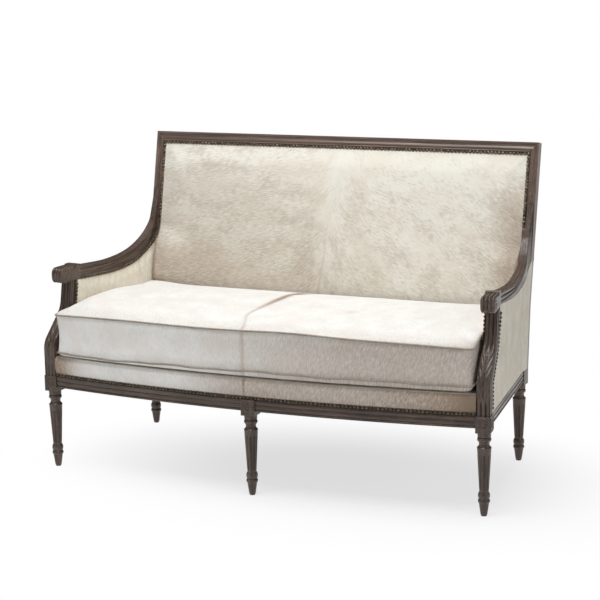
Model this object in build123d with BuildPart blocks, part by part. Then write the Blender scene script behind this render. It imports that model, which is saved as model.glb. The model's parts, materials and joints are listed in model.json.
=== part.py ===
"""Two-seat settee: dark show-wood frame, tight nailed back, nailed arms and one loose bench cushion.

Frame: +X to the right as seen from the front, +Y to the back, +Z up, origin on the floor under the
middle of the settee. Left and right in the names are as seen from the front. All sizes are
millimetres and degrees.
"""
import os
from math import asin, atan2, cos, degrees, floor, radians, sin, sqrt, tan

from build123d import *

os.makedirs("parts", exist_ok=True)

# Plan of the frame
front_leg_spacing = 1341.0
rear_leg_spacing = 1230.0
leg_line_depth = 527.4
front_bow = 52.0

# Legs
leg_block_side = 42.0
leg_block_bottom = 236.5
leg_block_top = 283.5
collar_drop = 20.0
collar_shoulder = 8.0
collar_half = 6.0
neck_drop = 13.5
neck_cut = 4.0
shaft_drop = 12.0
shaft_lip = 4.0
shaft_foot_height = 69.0
ankle_drop = 9.0
ankle_cut = 2.5
toe_drop = 15.5
toe_round = 8.0
turning_step = 1.0
shaft_top_diameter = 39.0
shaft_foot_diameter = 26.0
ankle_diameter = 33.0
toe_diameter = 17.5
flute_count = 10
flute_radius = 2.6
flute_top_inset = 18.0
flute_foot_inset = 9.0
glide_height = 3.0
glide_diameter = 16.0
glide_pin_diameter = 3.0
glide_pin_length = 14.0

# Seat rails
rail_bottom = 249.0
rail_top = 330.0
rail_thickness = 32.0
rail_setback = 4.0
show_bead_heights = (6.0, 14.0, 14.0)
show_bead_swell = 2.6
cover_rebate = 5.0
rear_rail_thickness = 27.0

# Back
overall_height = 946.0
back_rake = 12.46
rake_start = 327.0
back_break_height = 470.0
stile_thickness = 29.0
show_face = 25.0
moulding_fillet_share = 0.24
moulding_bead_share = 0.64
moulding_swell = 1.5
back_rebate_depth = 6.5
lower_back_rail_bottom = 352.0
lower_back_rail_height = 42.0
lower_back_rail_thickness = 20.0

# Arms and arm posts
arm_width = 38.0
arm_underside = 548.0
arm_thickness = 31.5
arm_sweep_radius = 175.0
arm_under_sweep_radius = 110.0
arm_sweep_rise = 151.0
arm_sweep_lip = 4.0
arm_under_rise = 61.0
arm_under_corner = 35.0
handhold_nose = 39.0
handhold_height = 53.0
handhold_length = 78.0
handhold_bead = 7.0
handhold_bead_rise = 3.0
arm_top_fall = 7.5
post_depth = 38.0
post_stem_depth = 30.0
post_knee_height = 382.0
post_shoulder_height = 473.5
post_shoulder_setback = 109.0
post_stem_lean = 14.0
post_band_share = 0.9
post_front_radii = (50.0, 70.0)
post_rear_radii = (25.0, 90.0)
knee_margin_share = 0.4
shoulder_margin_share = 0.3
arm_taper_start = 60.0
tuck_rail_height = 38.0
tuck_rail_thickness = 7.0

# Joinery
dowel_diameter = 10.0
dowel_length = 40.0
dowel_clearance = 0.1
dowel_end_clearance = 1.0
dowel_offset = 8.0
corner_block_leg = 92.0
corner_block_height = 26.0
corner_block_room = 2.0
arm_dowel_shares = (0.3, 0.6)
screw_diameter = 5.0
screw_length = 52.0
screw_head_diameter = 10.0
screw_head_height = 3.0
stretcher_width = 30.0
stretcher_height = 34.0

# Suspension
spring_count = 8
spring_spacing = 150.0
spring_wire = 3.6
spring_half_width = 21.0
spring_loop_step = 26.0
spring_loop_fullness = 0.48
clip_width = 14.0
clip_length = 21.0
clip_wall = 1.0
burlap_thickness = 1.2
dust_cover_thickness = 0.8
dust_cover_room = 0.5

# Upholstery
deck_thickness = 9.0
border_flange = 3.0
border_swell = 4.0
hide_flange = 4.0
nail_margin = 13.0
webbing_thickness = 1.5
webbing_width = 50.0
webbing_count = 6
webbing_inset = 2.0
back_crown = 17.0
arm_crown = 7.0
arm_pad_thickness = 5.0
arm_panel_recess = 2.0
back_panel_thickness = 5.0
back_panel_recess = 1.5
nail_head_diameter = 10.6
nail_head_height = 3.0
nail_shank_diameter = 2.0
nail_shank_length = 10.0
nail_pitch = 11.3
soft_clearance = 0.3

# Loose seat cushion
cushion_bottom_welt = 20.0
cushion_boxing = 114.0
cushion_crown = 24.0
cushion_base_insets = (26.0, 9.0)
cushion_base_share = 0.3
cushion_crown_insets = (32.0, 95.0, 200.0)
cushion_crown_shares = (0.45, 0.8, 1.0)
cushion_overhang = 21.5
cushion_side_gap = 5.5
cushion_side_draw = 7.5
cushion_boxing_draw = 4.0
cushion_corner_radius = 26.0
cushion_back_gap = 2.0
cover_thickness = 3.0
core_clearance = 0.5
welt_diameter = 7.0
welt_stand = 1.5
zip_length = 760.0
zip_height = 9.0

# Plan lines that follow from the driving dimensions
block_half = leg_block_side / 2
rake = radians(back_rake)
front_reach = front_bow + cushion_overhang + welt_stand + welt_diameter / 2
back_lean = (overall_height - rake_start) * tan(rake)
rear_reach = leg_line_depth - block_half + back_lean + stile_thickness * cos(rake)
leg_line_y = (front_reach - rear_reach) / 2
rear_leg_y = leg_line_y + leg_line_depth
front_leg_x = front_leg_spacing / 2
rear_leg_x = rear_leg_spacing / 2
bow_radius = (front_leg_x**2 + front_bow**2) / (2 * front_bow)
bow_centre_y = leg_line_y - front_bow + bow_radius
bow_axis = Axis((0, bow_centre_y, 0), (0, 0, 1))
side_angle = atan2(front_leg_x - rear_leg_x, leg_line_depth)
side_run = (-sin(side_angle), cos(side_angle), 0)
side_out = (cos(side_angle), sin(side_angle), 0)
side_length = leg_line_depth / cos(side_angle)
back_outer_x = rear_leg_x + block_half
back_face_y = rear_leg_y - block_half
rail_face = block_half - rail_setback
rail_inner = rail_face - rail_thickness
show_height = sum(show_bead_heights)
clip_bore = spring_wire / 2 + dowel_clearance
spring_height = rail_top + clip_wall + clip_bore
burlap_bottom = spring_height + clip_bore + clip_wall + soft_clearance
deck_bottom = burlap_bottom + burlap_thickness
deck_top = deck_bottom + deck_thickness
cushion_base = deck_top + soft_clearance
up_the_back = (0, sin(rake), cos(rake))
back_normal = (0, -cos(rake), sin(rake))
back_length = (overall_height - rake_start) / cos(rake)

side_plane = Plane((front_leg_x, leg_line_y, 0), x_dir=side_run, z_dir=side_out)
back_plane = Plane((0, back_face_y, rake_start), x_dir=(1, 0, 0), z_dir=back_normal)


def along_side(run, out, height):
    """A point of the right side, by its distance back from the front leg, outwards and up."""
    return (
        front_leg_x + run * side_run[0] + out * side_out[0],
        leg_line_y + run * side_run[1] + out * side_out[1],
        height,
    )


def on_back(x, rise, proud):
    """A point of the raked back, by its x, its distance up the rake and how far it stands proud."""
    return back_plane.from_local_coords((x, rise, proud))


def rise_at(height):
    """Distance up the raked front face of the back at a height above the floor."""
    return (height - rake_start) / cos(rake)


def stile_run(height):
    """Where the raked front face of the stile crosses the middle of the side, as a run."""
    return (back_face_y + (height - rake_start) * tan(rake) - leg_line_y) / cos(side_angle)


def bow_point(x, ahead, height):
    """A point on the bowed front, a distance ahead of the line through the front leg axes."""
    return (x, bow_centre_y - sqrt((bow_radius + ahead) ** 2 - x**2), height)


def save(part, name):
    """Label one finished sub-part and write it."""
    part.label = name
    export_step(part, f"parts/{name}.step")


def save_pair(part, name):
    """Write the right-hand sub-part and its mirror image on the left."""
    save(part, f"{name}_right")
    with BuildPart() as mirrored:
        mirror(part, about=Plane.YZ)
    save(mirrored.part, f"{name}_left")


def mirrored_plane(plane):
    """The same plane on the other side of the settee, facing the mirrored way."""
    origin = plane.origin
    facing = plane.z_dir
    return Plane((-origin.X, origin.Y, origin.Z), z_dir=(-facing.X, facing.Y, facing.Z))


def dowel_solid(seat, radius, length):
    """A round rod centred on a plane's origin, along its normal."""
    with BuildPart() as rod:
        with BuildSketch(seat.offset(-length / 2)) as end:
            Circle(radius)
        extrude(end.sketch, amount=length)
    return rod.part


# Inner face of the arm: it starts at the front post and meets the stile at the edge of its show face
inner_start = along_side(arm_taper_start, -arm_width / 2, 0)
stile_inner_x = back_outer_x - show_face
inner_reach = back_face_y + (arm_underside - rake_start) * tan(rake) - inner_start[1]
inner_angle = atan2(inner_start[0] - stile_inner_x, inner_reach)
inner_run = (-sin(inner_angle), cos(inner_angle), 0)
inner_out = (cos(inner_angle), sin(inner_angle), 0)
inner_plane = Plane(
    (inner_start[0] - arm_taper_start * inner_run[0], inner_start[1] - arm_taper_start * inner_run[1], 0),
    x_dir=inner_run,
    z_dir=inner_out,
)

# Dowel seats of the right half, on the joint faces, and of the middle
low_dowel_height = rail_bottom + dowel_offset
high_dowel_height = (leg_block_top + rail_top) / 2 + dowel_offset / 2
front_rail_seats = []
for seat_height in (low_dowel_height, high_dowel_height):
    front_rail_seats.append(Plane(along_side(-dowel_offset, -block_half, seat_height), z_dir=side_out))
rear_block_run = (leg_line_depth - block_half) / cos(side_angle)
side_rail_seats = []
for seat_run in (block_half, rear_block_run):
    side_rail_seats.append(Plane(along_side(seat_run, dowel_offset, low_dowel_height), z_dir=side_run))
rear_rail_seats = []
for seat_height in (low_dowel_height, high_dowel_height):
    rear_rail_seats.append(Plane((rear_leg_x - block_half, rear_leg_y, seat_height), z_dir=(1, 0, 0)))
post_foot_seat = Plane(along_side(0, 0, leg_block_top), z_dir=(0, 0, 1))
post_top_run = post_shoulder_setback - post_depth / 2 + post_stem_lean + post_stem_depth / 2
post_top_seat = Plane(along_side(post_top_run, 0, arm_underside), z_dir=(0, 0, 1))
arm_back_seats = []
for share in arm_dowel_shares:
    seat_height = arm_underside + arm_under_rise + share * (arm_sweep_rise - arm_under_rise)
    seat_y = back_face_y + (seat_height - rake_start) * tan(rake)
    arm_back_seats.append(
        Plane((back_outer_x - show_face / 2, seat_y, seat_height), z_dir=(0, cos(rake), -sin(rake)))
    )
mitre_normal = Vector(1, 0, 0) - Vector(*up_the_back)
mitre_plane = Plane(on_back(back_outer_x, back_length, 0), x_dir=back_normal, z_dir=mitre_normal)
mitre_middle = on_back(
    back_outer_x - leg_block_side / 2,
    back_length - leg_block_side / 2,
    -(stile_thickness + back_rebate_depth) / 2,
)
mitre_seat = Plane(mitre_middle, z_dir=mitre_normal)
lower_back_proud = -back_rebate_depth - lower_back_rail_thickness / 2
lower_back_rise = rise_at(lower_back_rail_bottom + lower_back_rail_height / 2)
lower_back_seats = []
for shift in (-lower_back_rail_height / 4, lower_back_rail_height / 4):
    lower_back_seats.append(
        Plane(on_back(rear_leg_x - block_half, lower_back_rise + shift, lower_back_proud), z_dir=(1, 0, 0))
    )
tuck_rail_bottom = deck_top + 6 * soft_clearance
centre_leg_seat = Plane((0, leg_line_y - front_bow, leg_block_top), z_dir=(0, 0, 1))
stretcher_middle = (rail_bottom + show_height + rail_top) / 2

right_dowel_seats = [
    *front_rail_seats,
    *side_rail_seats,
    *rear_rail_seats,
    *arm_back_seats,
    *lower_back_seats,
    post_foot_seat,
    post_top_seat,
    mitre_seat,
]
hole_radius = dowel_diameter / 2 + dowel_clearance
hole_length = dowel_length + 2 * dowel_end_clearance


def dowel_holes(seats):
    """Hole tools for a list of dowel seats, a clearance larger than the dowels all over."""
    return [dowel_solid(seat, hole_radius, hole_length) for seat in seats]


def mirrored_seats(seats):
    """The same seats on the left half."""
    return [mirrored_plane(seat) for seat in seats]


# Legs: one turning, shared by all five
collar_height = leg_block_bottom - collar_drop
neck_height = collar_height - neck_drop
shaft_top = neck_height - shaft_drop
flute_top = shaft_top - flute_top_inset
flute_foot = shaft_foot_height + flute_foot_inset
ankle_height = shaft_foot_height - ankle_drop
toe_shoulder = ankle_height - toe_drop


def shaft_radius(height):
    """Radius of the tapering shaft at a height."""
    share = (height - shaft_foot_height) / (shaft_top - shaft_foot_height)
    return (shaft_foot_diameter + share * (shaft_top_diameter - shaft_foot_diameter)) / 2


with BuildPart() as flute:
    with BuildLine() as flute_line:
        flute_edge = Line(
            (shaft_radius(flute_foot), 0, flute_foot), (shaft_radius(flute_top), 0, flute_top)
        )
    with BuildSketch(Plane(flute_edge @ 0, z_dir=flute_edge % 0)):
        Circle(flute_radius)
    sweep(path=flute_line.line)
    with Locations(flute_edge @ 0, flute_edge @ 1):
        Sphere(flute_radius)

shaft_top_radius = shaft_top_diameter / 2
shaft_foot_radius = shaft_foot_diameter / 2
collar_radius = shaft_top_radius - turning_step
neck_radius = shaft_top_radius - neck_cut
bead_root_radius = neck_radius + turning_step
ankle_radius = ankle_diameter / 2
ankle_root_radius = ankle_radius - ankle_cut
toe_radius = toe_diameter / 2
with BuildPart() as leg_turning:
    with BuildSketch(Plane.XZ):
        with BuildLine():
            Polyline(
                (0, leg_block_bottom),
                (collar_radius, leg_block_bottom),
                (collar_radius, collar_height + collar_shoulder),
                (bead_root_radius, collar_height + collar_half),
            )
            ThreePointArc(
                (bead_root_radius, collar_height + collar_half),
                (shaft_top_radius, collar_height),
                (bead_root_radius, collar_height - collar_half),
            )
            ThreePointArc(
                (bead_root_radius, collar_height - collar_half),
                (neck_radius - turning_step, neck_height),
                (collar_radius, shaft_top + shaft_lip),
            )
            ThreePointArc(
                (collar_radius, shaft_top + shaft_lip),
                (shaft_top_radius + turning_step / 2, shaft_top + shaft_lip / 2),
                (shaft_top_radius, shaft_top),
            )
            Line((shaft_top_radius, shaft_top), (shaft_foot_radius, shaft_foot_height))
            ThreePointArc(
                (shaft_foot_radius, shaft_foot_height),
                (ankle_radius, ankle_height),
                (ankle_root_radius, toe_shoulder + shaft_lip),
            )
            ThreePointArc(
                (ankle_root_radius, toe_shoulder + shaft_lip),
                (ankle_radius, toe_shoulder),
                (ankle_root_radius, toe_shoulder - toe_round),
            )
            Polyline(
                (ankle_root_radius, toe_shoulder - toe_round),
                (toe_radius + turning_step, 2 * glide_height),
                (toe_radius, glide_height),
                (0, glide_height),
                (0, leg_block_bottom),
            )
        make_face()
    revolve(axis=Axis.Z)
    with PolarLocations(0, flute_count):
        add(flute.part, mode=Mode.SUBTRACT)
    with Locations((0, 0, glide_height + glide_pin_length / 2)):
        Cylinder(
            glide_pin_diameter / 2 + dowel_clearance,
            glide_pin_length + 2 * dowel_end_clearance,
            mode=Mode.SUBTRACT,
        )

# Corner blocks are screwed on the diagonal into the inner corner of each leg block
corner_height = leg_block_top - corner_block_height
screw_height = corner_height + corner_block_height / 2
inwards = Vector(-side_out[0], -side_out[1], 0)
front_diagonal = (inwards + Vector(*side_run)).normalized()
rear_diagonal = Vector(-1, -1, 0).normalized()


def front_screw_plane():
    """Plane of the front corner block's open face, its normal pointing into the seat."""
    middle = along_side(-rail_inner, rail_inner, screw_height)
    reach = corner_block_leg / sqrt(2)
    return Plane(Vector(*middle) + front_diagonal * reach, z_dir=front_diagonal)


def rear_screw_plane():
    """Plane of the rear corner block's open face, its normal pointing into the seat."""
    middle = Vector(rear_leg_x + rail_inner, rear_leg_y - rear_rail_thickness / 2, screw_height)
    reach = corner_block_leg / sqrt(2)
    return Plane(middle + rear_diagonal * reach, z_dir=rear_diagonal)


def screw_hole(seat, clearance):
    """Hole tool for a corner block screw, a clearance larger than the shank."""
    with BuildPart() as tool:
        with BuildSketch(seat.offset(-screw_length - dowel_end_clearance)) as end:
            Circle(screw_diameter / 2 + clearance)
        extrude(end.sketch, amount=screw_length + 2 * dowel_end_clearance)
    return tool.part


front_leg_holes = dowel_holes([front_rail_seats[0], side_rail_seats[0], post_foot_seat])
with BuildPart() as front_leg_right:
    with Locations((front_leg_x, leg_line_y, 0)):
        add(leg_turning.part)
    with BuildSketch(Plane((front_leg_x, leg_line_y, leg_block_bottom), x_dir=side_out)):
        Rectangle(leg_block_side, leg_block_side)
    extrude(amount=leg_block_top - leg_block_bottom)
    add(front_leg_holes, mode=Mode.SUBTRACT)
    add(screw_hole(front_screw_plane(), dowel_clearance), mode=Mode.SUBTRACT)
save_pair(front_leg_right.part, "front_leg")

with BuildPart() as front_leg_centre:
    with Locations((0, leg_line_y - front_bow, 0)):
        add(leg_turning.part)
    with BuildSketch(Plane((0, leg_line_y - front_bow, leg_block_bottom))):
        Rectangle(leg_block_side, leg_block_side)
    extrude(amount=leg_block_top - leg_block_bottom)
    add(dowel_holes([centre_leg_seat]), mode=Mode.SUBTRACT)
save(front_leg_centre.part, "front_leg_centre")


# Back: posts and crest share one moulded section
def moulded_section(plane):
    """Back moulding: outer fillet, cove and bead on the show face, then the rebate for the cover."""
    fillet_end = (show_face * moulding_fillet_share, 0)
    cove_end = (show_face * moulding_bead_share, -moulding_swell)
    cove_middle = ((fillet_end[0] + cove_end[0]) / 2, -2 * moulding_swell)
    bead_middle = ((cove_end[0] + show_face) / 2, 0)
    bead_end = (show_face, -moulding_swell)
    with BuildSketch(plane) as section:
        with BuildLine():
            Polyline((0, -stile_thickness), (0, 0), fillet_end)
            ThreePointArc(fillet_end, cove_middle, cove_end)
            ThreePointArc(cove_end, bead_middle, bead_end)
            Polyline(
                bead_end,
                (show_face, -back_rebate_depth),
                (leg_block_side, -back_rebate_depth),
                (leg_block_side, -stile_thickness),
                (0, -stile_thickness),
            )
        make_face()
    return section.sketch


def back_line(height, proud):
    """A point of the raked back in side view, as (y, z), at a height and a distance proud."""
    return (back_face_y + (height - rake_start) * tan(rake) - proud / cos(rake), height)


stile_plane = Plane(on_back(back_outer_x, 0, 0), x_dir=(-1, 0, 0), z_dir=up_the_back)
rear_post_holes = dowel_holes(
    [side_rail_seats[1], *rear_rail_seats, *arm_back_seats, *lower_back_seats, mitre_seat]
)
with BuildPart() as rear_post_right:
    extrude(moulded_section(stile_plane), amount=back_length + leg_block_side)
    split(bisect_by=mitre_plane, keep=Keep.TOP)
    with BuildSketch(Plane.YZ.offset(back_outer_x - leg_block_side)):
        with BuildLine():
            Polyline(
                (back_face_y, leg_block_bottom),
                (rear_leg_y + block_half, leg_block_bottom),
                (rear_leg_y + block_half, leg_block_top),
                back_line(back_break_height, -stile_thickness),
                back_line(back_break_height, -back_rebate_depth),
                (back_face_y, rake_start - back_rebate_depth / sin(rake)),
                close=True,
            )
        make_face()
    extrude(amount=leg_block_side)
    with Locations((rear_leg_x, rear_leg_y, 0)):
        add(leg_turning.part)
    add(rear_post_holes, mode=Mode.SUBTRACT)
    add(screw_hole(rear_screw_plane(), dowel_clearance), mode=Mode.SUBTRACT)
save_pair(rear_post_right.part, "rear_post")

down_the_back = (0, -sin(rake), -cos(rake))
crest_plane = Plane(on_back(back_outer_x, back_length, 0), x_dir=down_the_back, z_dir=(-1, 0, 0))
with BuildPart() as crest_rail:
    extrude(moulded_section(crest_plane), amount=2 * back_outer_x)
    split(bisect_by=mitre_plane, keep=Keep.BOTTOM)
    split(bisect_by=mirrored_plane(mitre_plane), keep=Keep.BOTTOM)
    add(dowel_holes([mitre_seat, mirrored_plane(mitre_seat)]), mode=Mode.SUBTRACT)
save(crest_rail.part, "crest_rail")

lower_back_half = rear_leg_x - block_half
with BuildPart() as lower_back_rail:
    with BuildSketch(back_plane.offset(-back_rebate_depth)):
        with Locations((0, lower_back_rise)):
            Rectangle(2 * lower_back_half, lower_back_rail_height)
    extrude(amount=-lower_back_rail_thickness)
    add(dowel_holes([*lower_back_seats, *mirrored_seats(lower_back_seats)]), mode=Mode.SUBTRACT)
save(lower_back_rail.part, "lower_back_rail")


# Seat rails
def rail_section(plane, axis_offset):
    """Seat rail: beads on the show face, then the rebate behind the nailed cover."""
    face = axis_offset + rail_face
    root = face - show_bead_swell
    inner = axis_offset + rail_inner
    with BuildSketch(plane) as section:
        with BuildLine():
            Line((inner, rail_bottom), (root, rail_bottom))
            height = rail_bottom
            for bead in show_bead_heights:
                ThreePointArc((root, height), (face, height + bead / 2), (root, height + bead))
                height += bead
            Polyline(
                (root, height),
                (face - cover_rebate, height),
                (face - cover_rebate, rail_top),
                (inner, rail_top),
                (inner, rail_bottom),
            )
        make_face()
    return section.sketch


bow_half_angle = degrees(asin(front_leg_x / bow_radius))
bow_start = radians(bow_half_angle)
bow_start_plane = Plane(
    (0, bow_centre_y, 0),
    x_dir=(-sin(bow_start), -cos(bow_start), 0),
    z_dir=(-cos(bow_start), sin(bow_start), 0),
)
front_end_plane = Plane(along_side(0, -block_half, 0), z_dir=side_out)
stretcher_dowel_height = stretcher_middle + stretcher_height / 6
stretcher_seats = [
    Plane(bow_point(0, rail_inner, stretcher_dowel_height), z_dir=(0, 1, 0)),
    Plane((0, rear_leg_y - rear_rail_thickness / 2, stretcher_dowel_height), z_dir=(0, 1, 0)),
]
front_rail_holes = dowel_holes(
    [*front_rail_seats, *mirrored_seats(front_rail_seats), centre_leg_seat, stretcher_seats[0]]
)
with BuildPart() as front_rail:
    revolve(rail_section(bow_start_plane, bow_radius), axis=bow_axis, revolution_arc=2 * bow_half_angle)
    split(bisect_by=front_end_plane, keep=Keep.BOTTOM)
    split(bisect_by=mirrored_plane(front_end_plane), keep=Keep.BOTTOM)
    with BuildSketch(Plane((0, leg_line_y - front_bow, rail_bottom))):
        Rectangle(leg_block_side, 2 * leg_block_side)
    extrude(amount=leg_block_top - rail_bottom, mode=Mode.SUBTRACT)
    add(front_rail_holes, mode=Mode.SUBTRACT)
save(front_rail.part, "front_rail")

forwards = Vector(-side_run[0], -side_run[1], 0)
side_section_plane = Plane(along_side(block_half, 0, 0), x_dir=side_out, z_dir=forwards)
rear_end_plane = Plane((0, back_face_y, 0), z_dir=(0, 1, 0))
with BuildPart() as side_rail_right:
    extrude(rail_section(side_section_plane, 0), amount=-side_length)
    split(bisect_by=rear_end_plane, keep=Keep.BOTTOM)
    add(dowel_holes(side_rail_seats), mode=Mode.SUBTRACT)
save_pair(side_rail_right.part, "side_rail")

rear_rail_holes = dowel_holes(
    [*rear_rail_seats, *mirrored_seats(rear_rail_seats), stretcher_seats[1]]
)
with BuildPart() as rear_rail:
    with BuildSketch(Plane((0, rear_leg_y, rail_bottom))):
        Rectangle(2 * lower_back_half, rear_rail_thickness)
    extrude(amount=rail_top - rail_bottom)
    add(rear_rail_holes, mode=Mode.SUBTRACT)
save(rear_rail.part, "rear_rail")

with BuildPart() as centre_stretcher:
    with BuildSketch(Plane.XY.offset(stretcher_middle - stretcher_height / 2)):
        with BuildLine():
            front_half = stretcher_width / 2
            left_front = bow_point(-front_half, rail_inner, 0)
            right_front = bow_point(front_half, rail_inner, 0)
            ThreePointArc(left_front, bow_point(0, rail_inner, 0), right_front)
            Polyline(
                right_front,
                (front_half, rear_leg_y - rear_rail_thickness / 2),
                (-front_half, rear_leg_y - rear_rail_thickness / 2),
                left_front,
            )
        make_face()
    extrude(amount=stretcher_height)
    add(dowel_holes(stretcher_seats), mode=Mode.SUBTRACT)
save(centre_stretcher.part, "centre_stretcher")


# Corner blocks
def corner_block(corner, first, second, seat, keep_inside):
    """Triangular glue block from a corner along two rail faces, cut back from the leg and the bow."""
    points = [
        corner,
        Vector(*corner) + first * corner_block_leg,
        Vector(*corner) + second * corner_block_leg,
    ]
    with BuildPart() as block:
        with BuildSketch(Plane.XY.offset(corner_height)):
            with BuildLine():
                Polyline(*[(point.X, point.Y) for point in map(Vector, points)], close=True)
            make_face()
        extrude(amount=corner_block_height)
        add(keep_inside, mode=Mode.SUBTRACT)
        add(screw_hole(seat, dowel_clearance), mode=Mode.SUBTRACT)
    return block.part


def block_clear(plane):
    """Room round a leg block, wide enough to clear its inner corner."""
    with BuildPart() as room:
        with BuildSketch(plane):
            Rectangle(leg_block_side + 2 * corner_block_room, leg_block_side + 2 * corner_block_room)
        extrude(amount=corner_block_height)
    return room.part


with BuildPart() as outside_bow:
    with BuildSketch(Plane((0, bow_centre_y, corner_height))):
        Circle(bow_radius + rail_face)
        Circle(bow_radius + rail_inner - soft_clearance, mode=Mode.SUBTRACT)
    extrude(amount=corner_block_height)

front_room = block_clear(Plane((front_leg_x, leg_line_y, corner_height), x_dir=side_out))
front_block = corner_block(
    along_side(0, rail_inner, 0),
    inwards,
    Vector(*side_run),
    front_screw_plane(),
    [front_room, outside_bow.part],
)
save_pair(front_block, "corner_block_front")

rear_inner_y = rear_leg_y - rear_rail_thickness / 2
rear_corner_run = (rear_inner_y - leg_line_y) / cos(side_angle) + rail_inner * tan(side_angle)
rear_room = block_clear(Plane((rear_leg_x, rear_leg_y, corner_height)))
rear_block = corner_block(
    along_side(rear_corner_run, rail_inner, 0),
    Vector(-1, 0, 0),
    forwards,
    rear_screw_plane(),
    [rear_room],
)
save_pair(rear_block, "corner_block_rear")


def screw_solid(seat):
    """Wood screw: a round head on the block's open face and a plain shank."""
    with BuildPart() as screw:
        with BuildSketch(seat) as head:
            Circle(screw_head_diameter / 2)
        extrude(head.sketch, amount=screw_head_height)
        with BuildSketch(seat) as shank:
            Circle(screw_diameter / 2)
        extrude(shank.sketch, amount=-screw_length)
    return screw.part


# Arms and arm posts, drawn in the side plane as (run, height)
post_front_run = -post_depth / 2
post_shoulder_run = post_front_run + post_shoulder_setback
post_stem_top_run = post_shoulder_run + post_stem_lean
sweep_slope = (post_shoulder_height - post_knee_height) / post_shoulder_setback
band = post_depth * post_band_share
band_drop = band * sqrt(1 + sweep_slope**2)
rear_knee_height = post_knee_height + post_depth * sweep_slope - band_drop
stem_slope = post_stem_lean / (arm_underside - post_shoulder_height)
rear_shoulder_run = (
    post_shoulder_run + post_stem_depth - stem_slope * (post_shoulder_height - post_knee_height + band_drop)
    - stem_slope * sweep_slope * post_front_run
) / (1 - stem_slope * sweep_slope)
rear_shoulder_height = post_knee_height - band_drop + (rear_shoulder_run - post_front_run) * sweep_slope


def post_rear_points(margin, foot, head):
    """Rear edge of the post moved back by a margin, from a foot height to a head height."""
    return [
        (post_depth / 2 + margin, foot),
        (post_depth / 2 + margin, rear_knee_height - margin * knee_margin_share),
        (rear_shoulder_run + margin, rear_shoulder_height - margin * shoulder_margin_share),
        (post_stem_top_run + post_stem_depth + margin - stem_slope * (arm_underside - head), head),
    ]


with BuildSketch(side_plane) as post_profile:
    with BuildLine():
        FilletPolyline(
            (post_front_run, leg_block_top),
            (post_front_run, post_knee_height),
            (post_shoulder_run, post_shoulder_height),
            (post_stem_top_run, arm_underside),
            radius=post_front_radii,
        )
        Line((post_stem_top_run, arm_underside), (post_stem_top_run + post_stem_depth, arm_underside))
        FilletPolyline(*post_rear_points(0, leg_block_top, arm_underside), radius=post_rear_radii)
        Line((post_depth / 2, leg_block_top), (post_front_run, leg_block_top))
    make_face()

with BuildPart() as arm_post_right:
    extrude(post_profile.sketch, amount=arm_width / 2, both=True)
    add(dowel_holes([post_foot_seat, post_top_seat, front_rail_seats[1]]), mode=Mode.SUBTRACT)
save_pair(arm_post_right.part, "arm_post")

arm_top = arm_underside + arm_thickness
handhold_top = arm_underside + handhold_height
handhold_end = handhold_nose + handhold_length
sweep_top = arm_underside + arm_sweep_rise + arm_thickness
under_corner_run = stile_run(arm_underside) - arm_under_corner
under_sweep = [
    (handhold_nose + handhold_height / 2, arm_underside),
    (under_corner_run, arm_underside),
    (stile_run(arm_underside + arm_under_rise), arm_underside + arm_under_rise),
]
with BuildSketch(side_plane) as arm_profile:
    with BuildLine():
        FilletPolyline(*under_sweep, radius=arm_under_sweep_radius)
        arm_end_low = (under_sweep[-1][0] + arm_width, arm_underside + arm_under_rise)
        arm_end_high = (stile_run(sweep_top) + arm_width, sweep_top)
        sweep_lip = (stile_run(sweep_top) - arm_sweep_lip, sweep_top)
        Polyline(under_sweep[-1], arm_end_low, arm_end_high, sweep_lip)
        FilletPolyline(
            sweep_lip,
            (stile_run(arm_top) - arm_sweep_lip, arm_top),
            (handhold_end + 4 * handhold_height, arm_top),
            (handhold_end + handhold_bead, arm_top + arm_top_fall),
            radius=[arm_sweep_radius, 4 * arm_sweep_radius],
        )
        Line(
            (handhold_end + handhold_bead, arm_top + arm_top_fall),
            (handhold_end + handhold_bead, handhold_top),
        )
        ThreePointArc(
            (handhold_end + handhold_bead, handhold_top),
            (handhold_end + handhold_bead / 2, handhold_top + handhold_bead_rise),
            (handhold_end, handhold_top),
        )
        Line((handhold_end, handhold_top), (handhold_nose + handhold_height / 2, handhold_top))
        ThreePointArc(
            (handhold_nose + handhold_height / 2, handhold_top),
            (handhold_nose, arm_underside + handhold_height / 2),
            (handhold_nose + handhold_height / 2, arm_underside),
        )
    make_face()

stile_front_plane = Plane(on_back(0, 0, 0), z_dir=back_normal)
taper_run = handhold_end + handhold_bead
with BuildPart() as arm_taper:
    with BuildSketch(Plane.XY.offset(arm_underside - arm_thickness)):
        with BuildLine():
            Polyline(
                along_side(taper_run, -arm_width, 0)[:2],
                along_side(2 * side_length, -arm_width, 0)[:2],
                tuple(inner_plane.from_local_coords((2 * side_length, 0, 0)))[:2],
                tuple(inner_plane.from_local_coords((taper_run, 0, 0)))[:2],
                close=True,
            )
        make_face()
    extrude(amount=arm_sweep_rise + 4 * arm_thickness)

with BuildPart() as arm_right:
    extrude(arm_profile.sketch, amount=arm_width / 2, both=True)
    split(bisect_by=stile_front_plane, keep=Keep.TOP)
    add(arm_taper.part, mode=Mode.SUBTRACT)
    add(dowel_holes([post_top_seat, *arm_back_seats]), mode=Mode.SUBTRACT)
save_pair(arm_right.part, "arm")

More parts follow.
